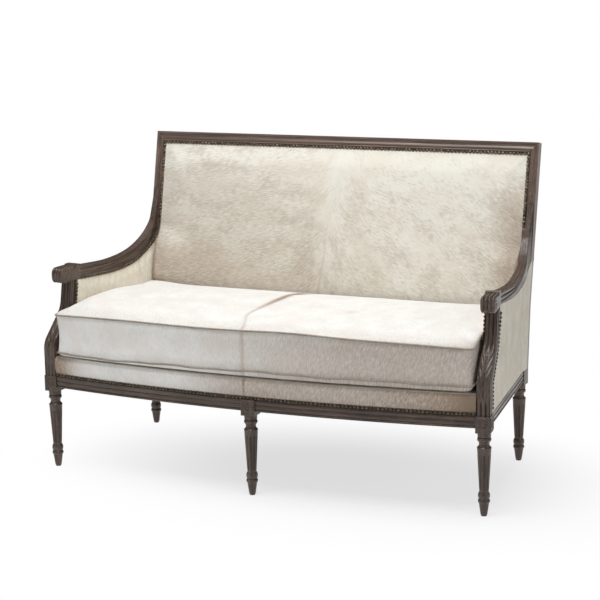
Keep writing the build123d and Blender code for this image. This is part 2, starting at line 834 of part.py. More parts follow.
tuck_rail_top = tuck_rail_bottom + tuck_rail_height
with BuildPart() as arm_tuck_rail_right:
    with BuildSketch(inner_plane.offset(arm_pad_thickness + soft_clearance)):
        with BuildLine():
            Polyline(
                (post_depth / 2 + soft_clearance, tuck_rail_bottom),
                (side_length + leg_block_side, tuck_rail_bottom),
                (side_length + leg_block_side, tuck_rail_top),
                (post_depth, tuck_rail_top),
                close=True,
            )
        make_face()
    extrude(amount=tuck_rail_thickness)
    split(bisect_by=stile_front_plane, keep=Keep.TOP)
    add(arm_post_right.part, mode=Mode.SUBTRACT)
save_pair(arm_tuck_rail_right.part, "arm_tuck_rail")

with BuildPart() as frame_dowels:
    for seat in [*right_dowel_seats, *mirrored_seats(right_dowel_seats), centre_leg_seat, *stretcher_seats]:
        add(dowel_solid(seat, dowel_diameter / 2, dowel_length))
save(frame_dowels.part, "frame_dowels")

with BuildPart() as corner_block_screws:
    for seat in [front_screw_plane(), rear_screw_plane()]:
        add(screw_solid(seat))
        add(screw_solid(mirrored_plane(seat)))
save(corner_block_screws.part, "corner_block_screws")

with BuildPart() as floor_glides:
    glide_seats = [
        (front_leg_x, leg_line_y, 0),
        (-front_leg_x, leg_line_y, 0),
        (0, leg_line_y - front_bow, 0),
        (rear_leg_x, rear_leg_y, 0),
        (-rear_leg_x, rear_leg_y, 0),
    ]
    with Locations(*glide_seats):
        Cylinder(glide_diameter / 2, glide_height, align=(Align.CENTER, Align.CENTER, Align.MIN))
        Cylinder(
            glide_pin_diameter / 2,
            glide_height + glide_pin_length,
            align=(Align.CENTER, Align.CENTER, Align.MIN),
        )
save(floor_glides.part, "floor_glides")


# Suspension
def spring_line(x):
    """Sinuous spring at an x: bars across, joined by rounded ends, from the front rail to the rear."""
    front_y = bow_point(x, (rail_face - cover_rebate + rail_inner) / 2, 0)[1]
    loops = round((rear_leg_y - front_y) / spring_loop_step)
    step = (rear_leg_y - front_y) / loops
    points = []
    side = -1
    for bar in range(loops + 1):
        y = front_y + bar * step
        points.append((x + side * spring_half_width, y, spring_height))
        points.append((x - side * spring_half_width, y, spring_height))
        side = -side
    return points, spring_loop_fullness * step


def spring_clip(x, y):
    """Clip on a rail: a strip tacked to the rail and rolled over the spring's end bar."""
    with BuildPart() as clip:
        with BuildSketch(Plane.YZ.offset(x - clip_width / 2)) as profile:
            with Locations((y, spring_height)):
                Circle(clip_bore + clip_wall)
            with Locations((y, rail_top + clip_wall / 2)):
                Rectangle(clip_length, clip_wall)
            with Locations((y, spring_height)):
                Circle(clip_bore, mode=Mode.SUBTRACT)
        extrude(profile.sketch, amount=clip_width)
    return clip.part


spring_places = []
for place in range(spring_count):
    spring_places.append((place - (spring_count - 1) / 2) * spring_spacing)

with BuildPart() as seat_springs:
    for spring_x in spring_places:
        bar_points, loop_radius = spring_line(spring_x)
        with BuildLine(mode=Mode.PRIVATE) as wire_line:
            FilletPolyline(*bar_points, radius=loop_radius)
        with BuildSketch(Plane(wire_line.line @ 0, z_dir=wire_line.line % 0), mode=Mode.PRIVATE) as wire_end:
            Circle(spring_wire / 2)
        sweep(wire_end.sketch, path=wire_line.line)
save(seat_springs.part, "seat_springs")

with BuildPart() as spring_clips:
    for spring_x in spring_places:
        bar_points, loop_radius = spring_line(spring_x)
        add(spring_clip(spring_x, bar_points[0][1]))
        add(spring_clip(spring_x, bar_points[-1][1]))
save(spring_clips.part, "spring_clips")


# Seat coverings share one plan: bowed front, tapering sides and a straight back
def meets_bow(start, run, ahead):
    """Point where a line in plan, from a start along a run, crosses the bow at a distance ahead."""
    away = Vector(start[0], start[1] - bow_centre_y, 0)
    half = away.dot(Vector(*run))
    reach = -half - sqrt(half**2 - away.length**2 + (bow_radius + ahead) ** 2)
    return (start[0] + reach * run[0], start[1] + reach * run[1])


def meets_back(start, run, back_y):
    """Point where a line in plan, from a start along a run, crosses a straight back line."""
    reach = (back_y - start[1]) / run[1]
    return (start[0] + reach * run[0], back_y)


def seat_plan(height, ahead, out, back_y):
    """Flat sheet over the seat: a distance ahead of the leg line, out from the side line and back."""
    start = along_side(0, out, 0)
    right_front = meets_bow(start, side_run, ahead)
    right_back = meets_back(start, side_run, back_y)
    left_front = (-right_front[0], right_front[1])
    left_back = (-right_back[0], right_back[1])
    with BuildSketch(Plane.XY.offset(height)) as sheet:
        with BuildLine():
            ThreePointArc(left_front, bow_point(0, ahead, 0)[:2], right_front)
            Polyline(right_front, right_back, left_back, left_front)
        make_face()
    return sheet.sketch


deck_front = rail_face - cover_rebate
deck_side = -block_half - 4 * soft_clearance
deck_back = rear_leg_y - rear_rail_thickness / 4
with BuildPart() as spring_cover:
    extrude(seat_plan(burlap_bottom, deck_front, deck_side, deck_back), amount=burlap_thickness)
save(spring_cover.part, "spring_cover")

with BuildPart() as deck_pad:
    extrude(seat_plan(deck_bottom, deck_front, deck_side, deck_back), amount=deck_thickness)
save(deck_pad.part, "deck_pad")

dust_front = rail_face - 2 * show_bead_swell
dust_back = rear_leg_y + rear_rail_thickness / 4
block_opening = leg_block_side + 2 * dust_cover_room
with BuildPart() as leg_blocks:
    for block_x in (-front_leg_x, front_leg_x):
        turn = degrees(side_angle) * (1 if block_x > 0 else -1)
        with Locations(Location((block_x, leg_line_y, rail_bottom), (0, 0, turn))):
            Box(block_opening, block_opening, leg_block_side)
    with Locations(
        (0, leg_line_y - front_bow, rail_bottom),
        (rear_leg_x, rear_leg_y, rail_bottom),
        (-rear_leg_x, rear_leg_y, rail_bottom),
    ):
        Box(block_opening, block_opening, leg_block_side)

with BuildPart() as dust_cover:
    extrude(
        seat_plan(rail_bottom - dust_cover_thickness, dust_front, dust_front, dust_back),
        amount=dust_cover_thickness,
    )
    add(leg_blocks.part, mode=Mode.SUBTRACT)
save(dust_cover.part, "dust_cover")

border_inner = bow_radius + rail_face - cover_rebate + soft_clearance
border_face = border_inner + border_flange
border_bottom = leg_block_top + soft_clearance
border_end_plane = Plane(along_side(0, -arm_width / 2 - soft_clearance, 0), z_dir=side_out)
with BuildPart() as front_border:
    with BuildSketch(bow_start_plane) as border_section:
        with BuildLine():
            Polyline(
                (border_face, border_bottom + nail_margin),
                (border_face, border_bottom),
                (border_inner, border_bottom),
                (border_inner, deck_top),
                (border_face, deck_top),
            )
            ThreePointArc(
                (border_face, deck_top),
                (border_face + border_swell, (border_bottom + nail_margin + deck_top) / 2),
                (border_face, border_bottom + nail_margin),
            )
        make_face()
    revolve(border_section.sketch, axis=bow_axis, revolution_arc=2 * bow_half_angle)
    split(bisect_by=border_end_plane, keep=Keep.BOTTOM)
    split(bisect_by=mirrored_plane(border_end_plane), keep=Keep.BOTTOM)
save(front_border.part, "front_border")

# Back upholstery
flange_back = -back_rebate_depth + webbing_thickness
flange_face = flange_back + hide_flange
back_half = back_outer_x - show_face - soft_clearance
back_low = rise_at(lower_back_rail_bottom)
back_high = back_length - show_face - soft_clearance
back_middle = (back_low + back_high) / 2
back_half_height = (back_high - back_low) / 2
with BuildPart() as back_webbing:
    with BuildSketch(back_plane.offset(-back_rebate_depth)):
        with Locations((0, back_middle)):
            with GridLocations(0, 2 * back_half_height / webbing_count, 1, webbing_count):
                Rectangle(2 * (back_half - webbing_inset), webbing_width)
    extrude(amount=webbing_thickness)
save(back_webbing.part, "back_webbing")


def crown_radius(half_span, crown):
    """Radius of an arc that rises by the crown over half its span."""
    return (half_span**2 + crown**2) / (2 * crown)


pad_half = back_half - nail_margin - hide_flange
pad_half_height = back_half_height - nail_margin - hide_flange
pad_edge = flange_face + hide_flange
across_radius = crown_radius(pad_half, back_crown)
up_radius = crown_radius(pad_half_height, back_crown)
with BuildPart() as back_swell:
    with BuildSketch(back_plane.offset(flange_back)):
        with Locations((0, back_middle)):
            Rectangle(2 * pad_half, 2 * pad_half_height)
    extrude(amount=pad_edge - flange_back + back_crown)
    with BuildSketch(Plane(on_back(0, back_low, 0), x_dir=(1, 0, 0), z_dir=up_the_back)):
        with Locations((0, across_radius - back_crown - pad_edge)):
            Circle(across_radius)
    extrude(amount=2 * back_half_height, mode=Mode.INTERSECT)
    with BuildSketch(Plane(on_back(-back_half, back_middle, 0), x_dir=up_the_back, z_dir=(1, 0, 0))):
        with Locations((0, back_crown + pad_edge - up_radius)):
            Circle(up_radius)
    extrude(amount=2 * back_half, mode=Mode.INTERSECT)

with BuildPart() as inside_back_pad:
    with BuildSketch(back_plane.offset(flange_back)):
        with Locations((0, back_middle)):
            Rectangle(2 * back_half, 2 * back_half_height)
    extrude(amount=hide_flange)
    add(back_swell.part)
save(inside_back_pad.part, "inside_back_pad")


def side_view(rise, proud):
    """A point of the raked back in side view, as (y, z), by its rise and how far it stands proud."""
    return (
        back_face_y + rise * sin(rake) - proud * cos(rake),
        rake_start + rise * cos(rake) + proud * sin(rake),
    )


panel_outer = -stile_thickness + back_panel_recess
panel_inner = panel_outer + back_panel_thickness
panel_top = back_length - leg_block_side - soft_clearance
panel_break = rise_at(back_break_height)
panel_foot_y = rear_leg_y + block_half - back_panel_recess
with BuildPart() as outside_back_panel:
    with BuildSketch(Plane.YZ.offset(-lower_back_half + soft_clearance)):
        with BuildLine():
            Polyline(
                (panel_foot_y, leg_block_top),
                side_view(panel_break, panel_outer),
                side_view(panel_top, panel_outer),
                side_view(panel_top, panel_inner),
                side_view(panel_break, panel_inner),
                (panel_foot_y - back_panel_thickness, leg_block_top),
                close=True,
            )
        make_face()
    extrude(amount=2 * (lower_back_half - soft_clearance))
save(outside_back_panel.part, "outside_back_panel")


# Arm upholstery fills the opening between post, arm and stile
under_slope = arm_under_rise / (under_sweep[-1][0] - under_corner_run)


def arm_opening(plane, bottom, rear_points, clearance):
    """Outline of the arm's opening, a clearance inside the wood, closed by its rear points."""
    top = arm_underside - clearance
    start = post_rear_points(clearance, bottom, top)
    under_end = (rear_points[0][0], top + under_slope * (rear_points[0][0] - under_corner_run))
    with BuildSketch(plane) as opening:
        with BuildLine():
            FilletPolyline(*start, radius=post_rear_radii)
            FilletPolyline(start[-1], (under_corner_run, top), under_end, radius=arm_under_sweep_radius)
            Polyline(under_end, *rear_points, (rear_points[-1][0], bottom), start[0])
        make_face()
    return opening.sketch


side_clearance = 3 * soft_clearance
pad_rear_run = stile_run(arm_underside + arm_under_rise)
pad_bottom = deck_top + 2 * soft_clearance
pad_rear = [(pad_rear_run, arm_underside)]
cushion_back_y = back_face_y - cushion_back_gap
inner_origin = tuple(inner_plane.origin)
swell_front = meets_bow(inner_origin, inner_run, cushion_overhang)
swell_back = meets_back(inner_origin, inner_run, cushion_back_y)
pad_middle = ((swell_front[0] + swell_back[0]) / 2, (swell_front[1] + swell_back[1]) / 2, pad_bottom)
swell_radius = crown_radius((swell_back[1] - swell_front[1]) / 2 / cos(inner_angle), arm_crown)
with BuildPart() as arm_swell:
    extrude(
        arm_opening(inner_plane, pad_bottom, pad_rear, side_clearance + nail_margin), amount=-2 * arm_crown
    )
    with BuildSketch(Plane(pad_middle, x_dir=inner_out)):
        with Locations((swell_radius - arm_crown, 0)):
            Circle(swell_radius)
    extrude(amount=arm_sweep_rise + arm_underside, mode=Mode.INTERSECT)

with BuildPart() as inside_arm_pad_right:
    extrude(arm_opening(inner_plane, pad_bottom, pad_rear, side_clearance), amount=arm_pad_thickness)
    add(arm_swell.part)
    split(bisect_by=Plane(on_back(0, 0, pad_edge + hide_flange), z_dir=back_normal), keep=Keep.TOP)
save_pair(inside_arm_pad_right.part, "inside_arm_pad")

panel_face = arm_width / 2 - arm_panel_recess
panel_back = rail_face - cover_rebate + soft_clearance
panel_gap = arm_width / 2 * tan(side_angle) + soft_clearance
panel_high = arm_underside + arm_under_rise / 2
panel_rear = [(stile_run(panel_high) - panel_gap, panel_high), (rear_block_run - panel_gap, rake_start)]
panel_bottom = leg_block_top + soft_clearance
with BuildPart() as outside_arm_panel_right:
    extrude(
        arm_opening(side_plane.offset(panel_back), panel_bottom, panel_rear, side_clearance),
        amount=panel_face - panel_back,
    )
save_pair(outside_arm_panel_right.part, "outside_arm_panel")


# Upholstery nails: one domed nail, set along the edges of the covers
nail_radius = nail_head_diameter / 2
nail_shank_radius = nail_shank_diameter / 2
dome_radius = crown_radius(nail_radius, nail_head_height)
dome_drop = dome_radius - sqrt(dome_radius**2 - nail_radius**2 / 4)
with BuildPart() as nail:
    with BuildSketch(Plane.XZ):
        with BuildLine():
            ThreePointArc(
                (0, nail_head_height), (nail_radius / 2, nail_head_height - dome_drop), (nail_radius, 0)
            )
            Polyline(
                (nail_radius, 0),
                (nail_shank_radius, 0),
                (nail_shank_radius, nail_shank_diameter - nail_shank_length),
                (0, -nail_shank_length),
                (0, nail_head_height),
            )
        make_face()
    revolve(axis=Axis.Z)


def nail_group(seats):
    """All the nails of one group, each standing on its seat."""
    with BuildPart() as group:
        with Locations(*seats):
            add(nail.part)
    return group.part


def row_points(start, end, line):
    """Points a nail pitch apart along a line, from a start distance to a distance short of its end."""
    count = floor((line.length - start - end) / nail_pitch) + 1
    return [line.position_at((start + place * nail_pitch) / line.length) for place in range(count)]


nail_half = nail_pitch / 2
border_nail_height = border_bottom + nail_margin / 2
border_nail_angle = asin((front_leg_x - arm_width / 2 - 2 * nail_half) / border_face)
border_nail_count = floor(2 * border_nail_angle * border_face / nail_pitch)
border_seats = []
for place in range(border_nail_count + 1):
    angle = (place - border_nail_count / 2) * nail_pitch / border_face
    facing = (sin(angle), -cos(angle), 0)
    point = (border_face * sin(angle), bow_centre_y - border_face * cos(angle), border_nail_height)
    border_seats.append(Plane(point, z_dir=facing))
save(nail_group(border_seats), "front_rail_nails")

arm_tip_x = stile_inner_x - (sweep_top - arm_underside) * tan(rake) * tan(inner_angle)
back_nail_x = arm_tip_x - nail_radius - soft_clearance
back_nail_rise = back_high - nail_half
crest_nail_gaps = floor(2 * back_nail_x / nail_pitch)
crest_step = 2 * back_nail_x / crest_nail_gaps
back_seats = []
for place in range(crest_nail_gaps + 1):
    nail_point = on_back(-back_nail_x + place * crest_step, back_nail_rise, flange_face)
    back_seats.append(Plane(nail_point, z_dir=back_normal))
stile_nail_low = rise_at(arm_underside + arm_under_rise)
for place in range(1, floor((back_nail_rise - stile_nail_low) / nail_pitch) + 1):
    for nail_x in (-back_nail_x, back_nail_x):
        nail_point = on_back(nail_x, back_nail_rise - place * nail_pitch, flange_face)
        back_seats.append(Plane(nail_point, z_dir=back_normal))
save(nail_group(back_seats), "back_nails")

nail_line_gap = side_clearance + nail_half
nail_line_top = arm_underside - nail_line_gap
with BuildLine(inner_plane) as inner_post_line:
    FilletPolyline(*post_rear_points(nail_line_gap, pad_bottom, nail_line_top), radius=post_rear_radii)
with BuildLine(inner_plane) as under_arm_line:
    FilletPolyline(
        (post_stem_top_run + post_stem_depth + nail_line_gap, nail_line_top),
        (under_corner_run, nail_line_top),
        (pad_rear_run, nail_line_top + arm_under_rise),
        radius=arm_under_sweep_radius,
    )
with BuildLine(side_plane.offset(panel_face)) as outer_post_line:
    FilletPolyline(*post_rear_points(nail_line_gap, panel_bottom, nail_line_top), radius=post_rear_radii)
inner_facing = (-inner_out[0], -inner_out[1], 0)
arm_seats = []
for point in row_points(nail_pitch, nail_pitch, inner_post_line.wire()):
    arm_seats.append(Plane(point, z_dir=inner_facing))
for point in row_points(0, 3 * nail_pitch, under_arm_line.wire()):
    arm_seats.append(Plane(point, z_dir=inner_facing))
for point in row_points(nail_pitch, 0, outer_post_line.wire()):
    arm_seats.append(Plane(point, z_dir=side_out))
save_pair(nail_group(arm_seats), "arm_nails")

# Loose seat cushion: a bow-fronted box with drawn-in sides and a crowned top
def cushion_section(height, inset):
    """Plan of the cushion at a height, drawn in from its full size by an inset."""
    start = tuple(inner_plane.from_local_coords((0, 0, -cushion_side_gap - inset)))
    right_front = meets_bow(start, inner_run, cushion_overhang - inset)
    right_back = meets_back(start, inner_run, cushion_back_y - inset)
    right_side = (
        (right_front[0] + right_back[0]) / 2 - cushion_side_draw * inner_out[0],
        (right_front[1] + right_back[1]) / 2 - cushion_side_draw * inner_out[1],
    )
    left_front, left_side, left_back = [(-x, y) for x, y in (right_front, right_side, right_back)]
    with BuildSketch(Plane.XY.offset(height)) as plan:
        with BuildLine():
            ThreePointArc(left_front, bow_point(0, cushion_overhang - inset, 0)[:2], right_front)
            ThreePointArc(right_front, right_side, right_back)
            Line(right_back, left_back)
            ThreePointArc(left_back, left_side, left_front)
        make_face()
        fillet(plan.vertices(), cushion_corner_radius)
    return plan.sketch


cushion_height = cushion_bottom_welt + cushion_boxing + cushion_crown
top_welt = cushion_bottom_welt + cushion_boxing
base_levels = [
    (0, cushion_base_insets[0]),
    (cushion_base_share * cushion_bottom_welt, cushion_base_insets[1]),
    (cushion_bottom_welt, 0),
]
boxing_levels = [
    (cushion_bottom_welt, 0),
    (cushion_bottom_welt + cushion_boxing / 2, cushion_boxing_draw),
    (top_welt, 0),
]
crown_levels = [(top_welt, 0)]
for share, crown_inset in zip(cushion_crown_shares, cushion_crown_insets):
    crown_levels.append((top_welt + share * cushion_crown, crown_inset))


def cushion_form(shrink):
    """The cushion's swollen form, smaller all round by a shrink."""
    with BuildPart() as form:
        for levels in (base_levels, boxing_levels, crown_levels):
            sections = []
            for level, inset in levels:
                height = cushion_base + level + shrink * (1 - 2 * level / cushion_height)
                sections.append(cushion_section(height, inset + shrink))
            loft(sections)
    return form.part


zip_face_y = cushion_back_y - cushion_boxing_draw
zip_height_middle = cushion_base + cushion_bottom_welt + cushion_boxing / 2
with BuildPart() as cushion_core:
    add(cushion_form(cover_thickness + core_clearance))
save(cushion_core.part, "cushion_core")

with BuildPart() as cushion_cover:
    add(cushion_form(0))
    add(cushion_form(cover_thickness), mode=Mode.SUBTRACT)
    with Locations((0, zip_face_y, zip_height_middle)):
        Box(
            zip_length + 2 * soft_clearance,
            4 * cover_thickness,
            zip_height + 2 * soft_clearance,
            mode=Mode.SUBTRACT,
        )
save(cushion_cover.part, "cushion_cover")

zip_depth = cover_thickness - 2 * soft_clearance
with BuildPart() as cushion_zip:
    with Locations((0, zip_face_y - cover_thickness / 2, zip_height_middle)):
        Box(zip_length, zip_depth, zip_height)
save(cushion_zip.part, "cushion_zip")


def cushion_welt(level):
    """Piping round the cushion at a level, sewn into the edge of the cover."""
    outline = cushion_section(cushion_base + level, -welt_stand).wire()
    with BuildPart() as piping:
        with BuildSketch(Plane(outline @ 0, z_dir=outline % 0)) as round_section:
            Circle(welt_diameter / 2)
        sweep(round_section.sketch, path=outline)
    return piping.part


save(cushion_welt(top_welt), "cushion_welt_top")
save(cushion_welt(cushion_bottom_welt), "cushion_welt_bottom")
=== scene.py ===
"""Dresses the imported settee: hair-on hide covers, carved show-wood, close nailing and a plain stage."""

import json
from math import atan2, cos, pi, radians, sin, tan

import bmesh
import bpy
import numpy as np
from bpy.props import FloatProperty, FloatVectorProperty, PointerProperty
from bpy.types import Operator, Panel, PropertyGroup
from mathutils import Matrix, Vector


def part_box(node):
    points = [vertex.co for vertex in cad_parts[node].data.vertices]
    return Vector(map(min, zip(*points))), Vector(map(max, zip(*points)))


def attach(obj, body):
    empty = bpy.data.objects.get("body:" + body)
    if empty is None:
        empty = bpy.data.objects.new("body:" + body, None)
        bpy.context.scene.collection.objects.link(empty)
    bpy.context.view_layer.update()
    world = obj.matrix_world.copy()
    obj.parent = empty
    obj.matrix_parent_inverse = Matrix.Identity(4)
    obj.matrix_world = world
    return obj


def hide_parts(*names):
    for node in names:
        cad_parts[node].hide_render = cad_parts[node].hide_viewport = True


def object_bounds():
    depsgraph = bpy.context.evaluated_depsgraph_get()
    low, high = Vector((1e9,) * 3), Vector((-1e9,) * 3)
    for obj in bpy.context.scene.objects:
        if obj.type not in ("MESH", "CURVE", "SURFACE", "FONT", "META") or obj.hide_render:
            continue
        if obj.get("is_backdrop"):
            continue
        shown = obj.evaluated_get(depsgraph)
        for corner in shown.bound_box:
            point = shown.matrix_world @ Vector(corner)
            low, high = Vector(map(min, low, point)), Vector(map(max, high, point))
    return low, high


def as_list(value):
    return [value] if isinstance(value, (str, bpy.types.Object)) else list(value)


bl_info = {
    "name": "Settee dressing",
    "version": (1, 0, 0),
    "blender": (4, 5, 0),
    "location": "View3D > Sidebar > Settee",
    "description": "Covers, carving, finishes and stage for the packed settee",
    "category": "Object",
}

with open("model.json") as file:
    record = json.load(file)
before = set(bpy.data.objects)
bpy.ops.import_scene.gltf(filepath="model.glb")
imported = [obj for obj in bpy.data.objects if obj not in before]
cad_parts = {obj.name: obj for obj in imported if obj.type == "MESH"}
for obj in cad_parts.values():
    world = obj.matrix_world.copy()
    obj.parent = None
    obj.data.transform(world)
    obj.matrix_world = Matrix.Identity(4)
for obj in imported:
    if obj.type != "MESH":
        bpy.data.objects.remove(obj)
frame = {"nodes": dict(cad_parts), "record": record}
CAD_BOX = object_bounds()

SLOT_OF_NODE = {part["node"]: part["material_slot"] for part in frame["record"]["subparts"]}


def box_centre(node):
    """Middle of a CAD node's box."""
    low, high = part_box(node)
    return (low + high) / 2


# Places read off the frame, in metres
LEG = box_centre("front_leg_right")
BOW_DEPTH = LEG.y - box_centre("front_leg_centre").y
STILE_LOW, STILE_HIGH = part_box("rear_post_right")
BLOCK = STILE_HIGH.x - STILE_LOW.x
BACK_FACE_Y = STILE_LOW.y
REAR_LEG = Vector(((STILE_LOW.x + STILE_HIGH.x) / 2, BACK_FACE_Y + BLOCK / 2, 0))
HEIGHT = STILE_HIGH.z
BORDER_LOW, BORDER_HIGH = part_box("front_border")
BACK_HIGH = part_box("inside_back_pad")[1]
SEAT_LOW, SEAT_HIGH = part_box("cushion_cover")

# Angles and radii of the frame
SIDE_ANGLE = atan2(LEG.x - REAR_LEG.x, REAR_LEG.y - LEG.y)
RAKE = radians(12.46)
RAKE_START = 0.327
BOW_RADIUS = (LEG.x**2 + BOW_DEPTH**2) / (2 * BOW_DEPTH)
BOW_CENTRE_Y = LEG.y - BOW_DEPTH + BOW_RADIUS

# Heights and depths of the frame
BLOCK_MIDDLE = 0.260
RAIL_TOP = 0.2835
ARM_PAD_FOOT = 0.347
BACK_PAD_FOOT = 0.352
RAKE_BEND = 0.470
BACK_NAILS_FOOT = 0.662
STILE_DEPTH = 0.029
CREST_DEPTH = 0.025

# Sizes of the arm, and its outlines in side view, as (run back from the front leg, height)
ARM_WIDTH = 0.038
ARM_UNDER = 0.548
ARM_TAPER = 0.060
ARM_FLARE = 0.007
SWEEP_DRAW = 0.007
ARM_TOP_LINE = (
    (0.112, 0.5925),
    (0.180, 0.5885),
    (0.225, 0.5848),
    (0.313, 0.5805),
    (0.360, 0.5825),
    (0.400, 0.5868),
    (0.445, 0.5958),
    (0.490, 0.6125),
    (0.533, 0.6420),
    (0.558, 0.6700),
    (0.570, 0.6960),
    (0.583, 0.7220),
    (0.598, 0.7530),
    (0.610, 0.7800),
    (0.619, 0.8000),
)
ARM_UNDER_LINE = (
    (0.112, 0.5480),
    (0.300, 0.5465),
    (0.400, 0.5480),
    (0.470, 0.5520),
    (0.533, 0.5600),
    (0.572, 0.5720),
    (0.600, 0.6000),
)
PAD_TOP_LINE = (
    (0.095, 0.5640),
    (0.150, 0.5600),
    (0.200, 0.5565),
    (0.255, 0.5525),
    (0.325, 0.5495),
    (0.360, 0.5503),
    (0.395, 0.5532),
    (0.430, 0.5578),
    (0.465, 0.5665),
    (0.500, 0.5802),
    (0.545, 0.6085),
    (0.575, 0.6370),
    (0.595, 0.6700),
)
OUTER_TOP_LINE = (
    (0.112, 0.5660),
    (0.171, 0.5605),
    (0.248, 0.5540),
    (0.327, 0.5525),
    (0.409, 0.5560),
    (0.459, 0.5635),
    (0.509, 0.5760),
    (0.552, 0.5930),
    (0.577, 0.6090),
    (0.595, 0.6250),
)

# Handhold at the front of the arm, and the post's lines in side view with the radii of their corners
HOLD_NOSE = 0.031
HOLD_UNDER = 0.5535
HOLD_HEIGHT = 0.047
HOLD_END = 0.117
HOLD_BEAD = 0.007
HOLD_COLLAR = 0.015
HOLD_BOW = 0.003
HOLD_WIDTH = 1.06 * ARM_WIDTH
POST_FRONT = ((-0.019, RAIL_TOP), (-0.019, 0.384), (0.068, 0.4735), (0.082, 0.553))
POST_REAR = ((0.019, RAIL_TOP), (0.019, 0.3692), (0.095, 0.4504), (0.112, 0.553))
POST_FRONT_RADII = (0.050, 0.070)
POST_REAR_RADII = (0.025, 0.090)

# Grooves along the sides of the arms and posts: depth, distance below the high face and width
SIDE_GROOVES = ((0.0038, 0.0085, 0.0026), (0.0026, 0.021, 0.0024))
CARVING_SUNK = 0.0002

# Covers, nails and the bead under the crest
NAIL_MARGIN = 0.013
COVER_GAP = 0.0009
COVER_DEPTH = 0.005
INSIDE_LAP = 0.010
OUTSIDE_SHORT = 0.017
NAIL_PITCH = 0.0113
NAIL_RADIUS = 0.0056
NAIL_HEIGHT = 0.0048
NAIL_EDGE = 0.0044
NAIL_SUNK = 0.0008
# Painted shade on the hide under and between the nails: how far it reaches from the wood, its fade and how
# dark it is
NAIL_SHADE_REACH = 0.0100
NAIL_SHADE_FADE = 0.003
NAIL_SHADE_DARKNESS = 2.2
CREST_BEAD = 0.0055
BORDER_AHEAD = 0.0153

# Inside back: its seam, how proud its edge stands, and the bulge of its lower corners
BACK_SEAM_X = -0.028
BACK_SEAM_RISE = 0.177
BACK_SEAM_LEAN = 0.125
BACK_EDGE_PROUD = 0.006
BACK_BULGE = 0.030

# Outside back: depths of its face and lining behind the stile's face, and its bend and top
OUTSIDE_BACK_FACE = 0.0275
OUTSIDE_BACK_LINING = 0.0225
OUTSIDE_BACK_BEND = 0.20
OUTSIDE_BACK_TOP = 0.0423

# Cushion: its piping above its base, then the sizes of its plan, boxing and base
PIPING_LOW = 0.020
PIPING_HIGH = 0.134
PIPING_RADIUS = 0.0027
SEAT_OVERHANG = 0.0215
SEAT_SIDE_GAP = 0.0055
SEAT_SIDE_DRAW = 0.0075
SEAT_SEAM_X = -0.012
SEAT_BASE_ROUND = 0.024
SEAT_BOXING_DRAW = 0.0045
SEAT_RIDGE = 0.36
SEAT_COLUMNS = 560
SEAT_ROUNDING = (0.014, 0.010)


class SetteeSizes(PropertyGroup):
    """Sizes of the dressing that may be changed."""

    seat_crown: FloatProperty(
        name="Seat crown",
        description="How far the seat's top stands above its piping",
        default=0.020,
        unit="LENGTH",
    )
    corner_drop: FloatProperty(
        name="Corner drop",
        description="How far the seat's upper piping falls towards the corners",
        default=0.011,
        unit="LENGTH",
    )
    back_swell: FloatProperty(
        name="Back swell",
        description="How far the middle of the inside back stands proud of its edge",
        default=0.021,
        unit="LENGTH",
    )
    reed_depth: FloatProperty(
        name="Reed depth",
        description="Depth of the reeds on the arms and posts",
        default=0.0034,
        unit="LENGTH",
    )
    carving_depth: FloatProperty(
        name="Carving depth",
        description="Relief of the rosettes and leaves",
        default=0.0036,
        unit="LENGTH",
    )
    swell_pressure: FloatProperty(
        name="Filling pressure",
        description="Pressure that swells the seat cushion in the cloth simulation",
        default=4.0,
    )


def colour(name, description, default):
    """A colour property with linear values."""
    return FloatVectorProperty(
        name=name, description=description, default=default, subtype="COLOR", size=3, min=0, max=1
    )


class SetteeColours(PropertyGroup):
    """Colours of the dressing that may be changed."""

    hide_pale: colour("Hide, pale", "Pale hair of the back", (0.755, 0.735, 0.655))
    hide_shade: colour("Hide, shade", "Darker hair of the back", (0.55, 0.497, 0.412))
    arm_pale: colour("Arm hide, pale", "Pale hair of the arms", (0.84, 0.80, 0.69))
    arm_shade: colour("Arm hide, shade", "Darker hair of the arms", (0.68, 0.62, 0.51))
    seat_pale: colour("Seat hide, pale", "Pale hair of the seat", (0.86, 0.85, 0.82))
    seat_shade: colour("Seat hide, shade", "Darker hair of the seat", (0.76, 0.735, 0.70))
    # Brown of the hair in patches and seams, also used to paint shade on the seat's front, boxing and
    # border
    hair_brown_and_shade: colour("Hide, brown", "Brown hair along joins and in patches", (0.34, 0.25, 0.18))
    # The piping is darkened, partly its own brown and partly painted shade of its seams
    piping_pale: colour("Piping, pale", "Pale hair of the piping", (0.36, 0.32, 0.27))
    piping_shade: colour("Piping, shade", "Darker hair of the piping", (0.26, 0.225, 0.185))
    wood_light: colour("Wood, light", "Light grain of the show-wood", (0.122, 0.081, 0.060))
    wood_dark: colour("Wood, dark", "Dark grain of the show-wood", (0.039, 0.026, 0.020))
    bare_light: colour("Bare wood, light", "Light grain of the hidden wood", (0.58, 0.43, 0.28))
    bare_dark: colour("Bare wood, dark", "Dark grain of the hidden wood", (0.42, 0.29, 0.17))
    bronze_light: colour("Bronze, rubbed", "Rubbed crowns of the nails", (0.152, 0.122, 0.091))
    bronze_dark: colour("Bronze, dark", "Patina of the nails", (0.050, 0.040, 0.031))
    steel: colour("Spring steel", "Springs, clips and screws", (0.46, 0.46, 0.47))
    brass: colour("Zip metal", "Teeth and slider of the zip", (0.42, 0.32, 0.17))
    lining: colour("Lining cloth", "Platform under the cushion", (0.66, 0.62, 0.55))
    burlap: colour("Burlap", "Webbing and spring cover", (0.50, 0.40, 0.26))
    dust: colour("Dust cloth", "Cloth under the seat", (0.035, 0.034, 0.033))
    glide: colour("Glide", "Glides under the feet", (0.055, 0.050, 0.048))
    floor: colour("Floor", "Floor of the stage", (0.86, 0.86, 0.86))


# Points of the settee from its own directions, in numpy


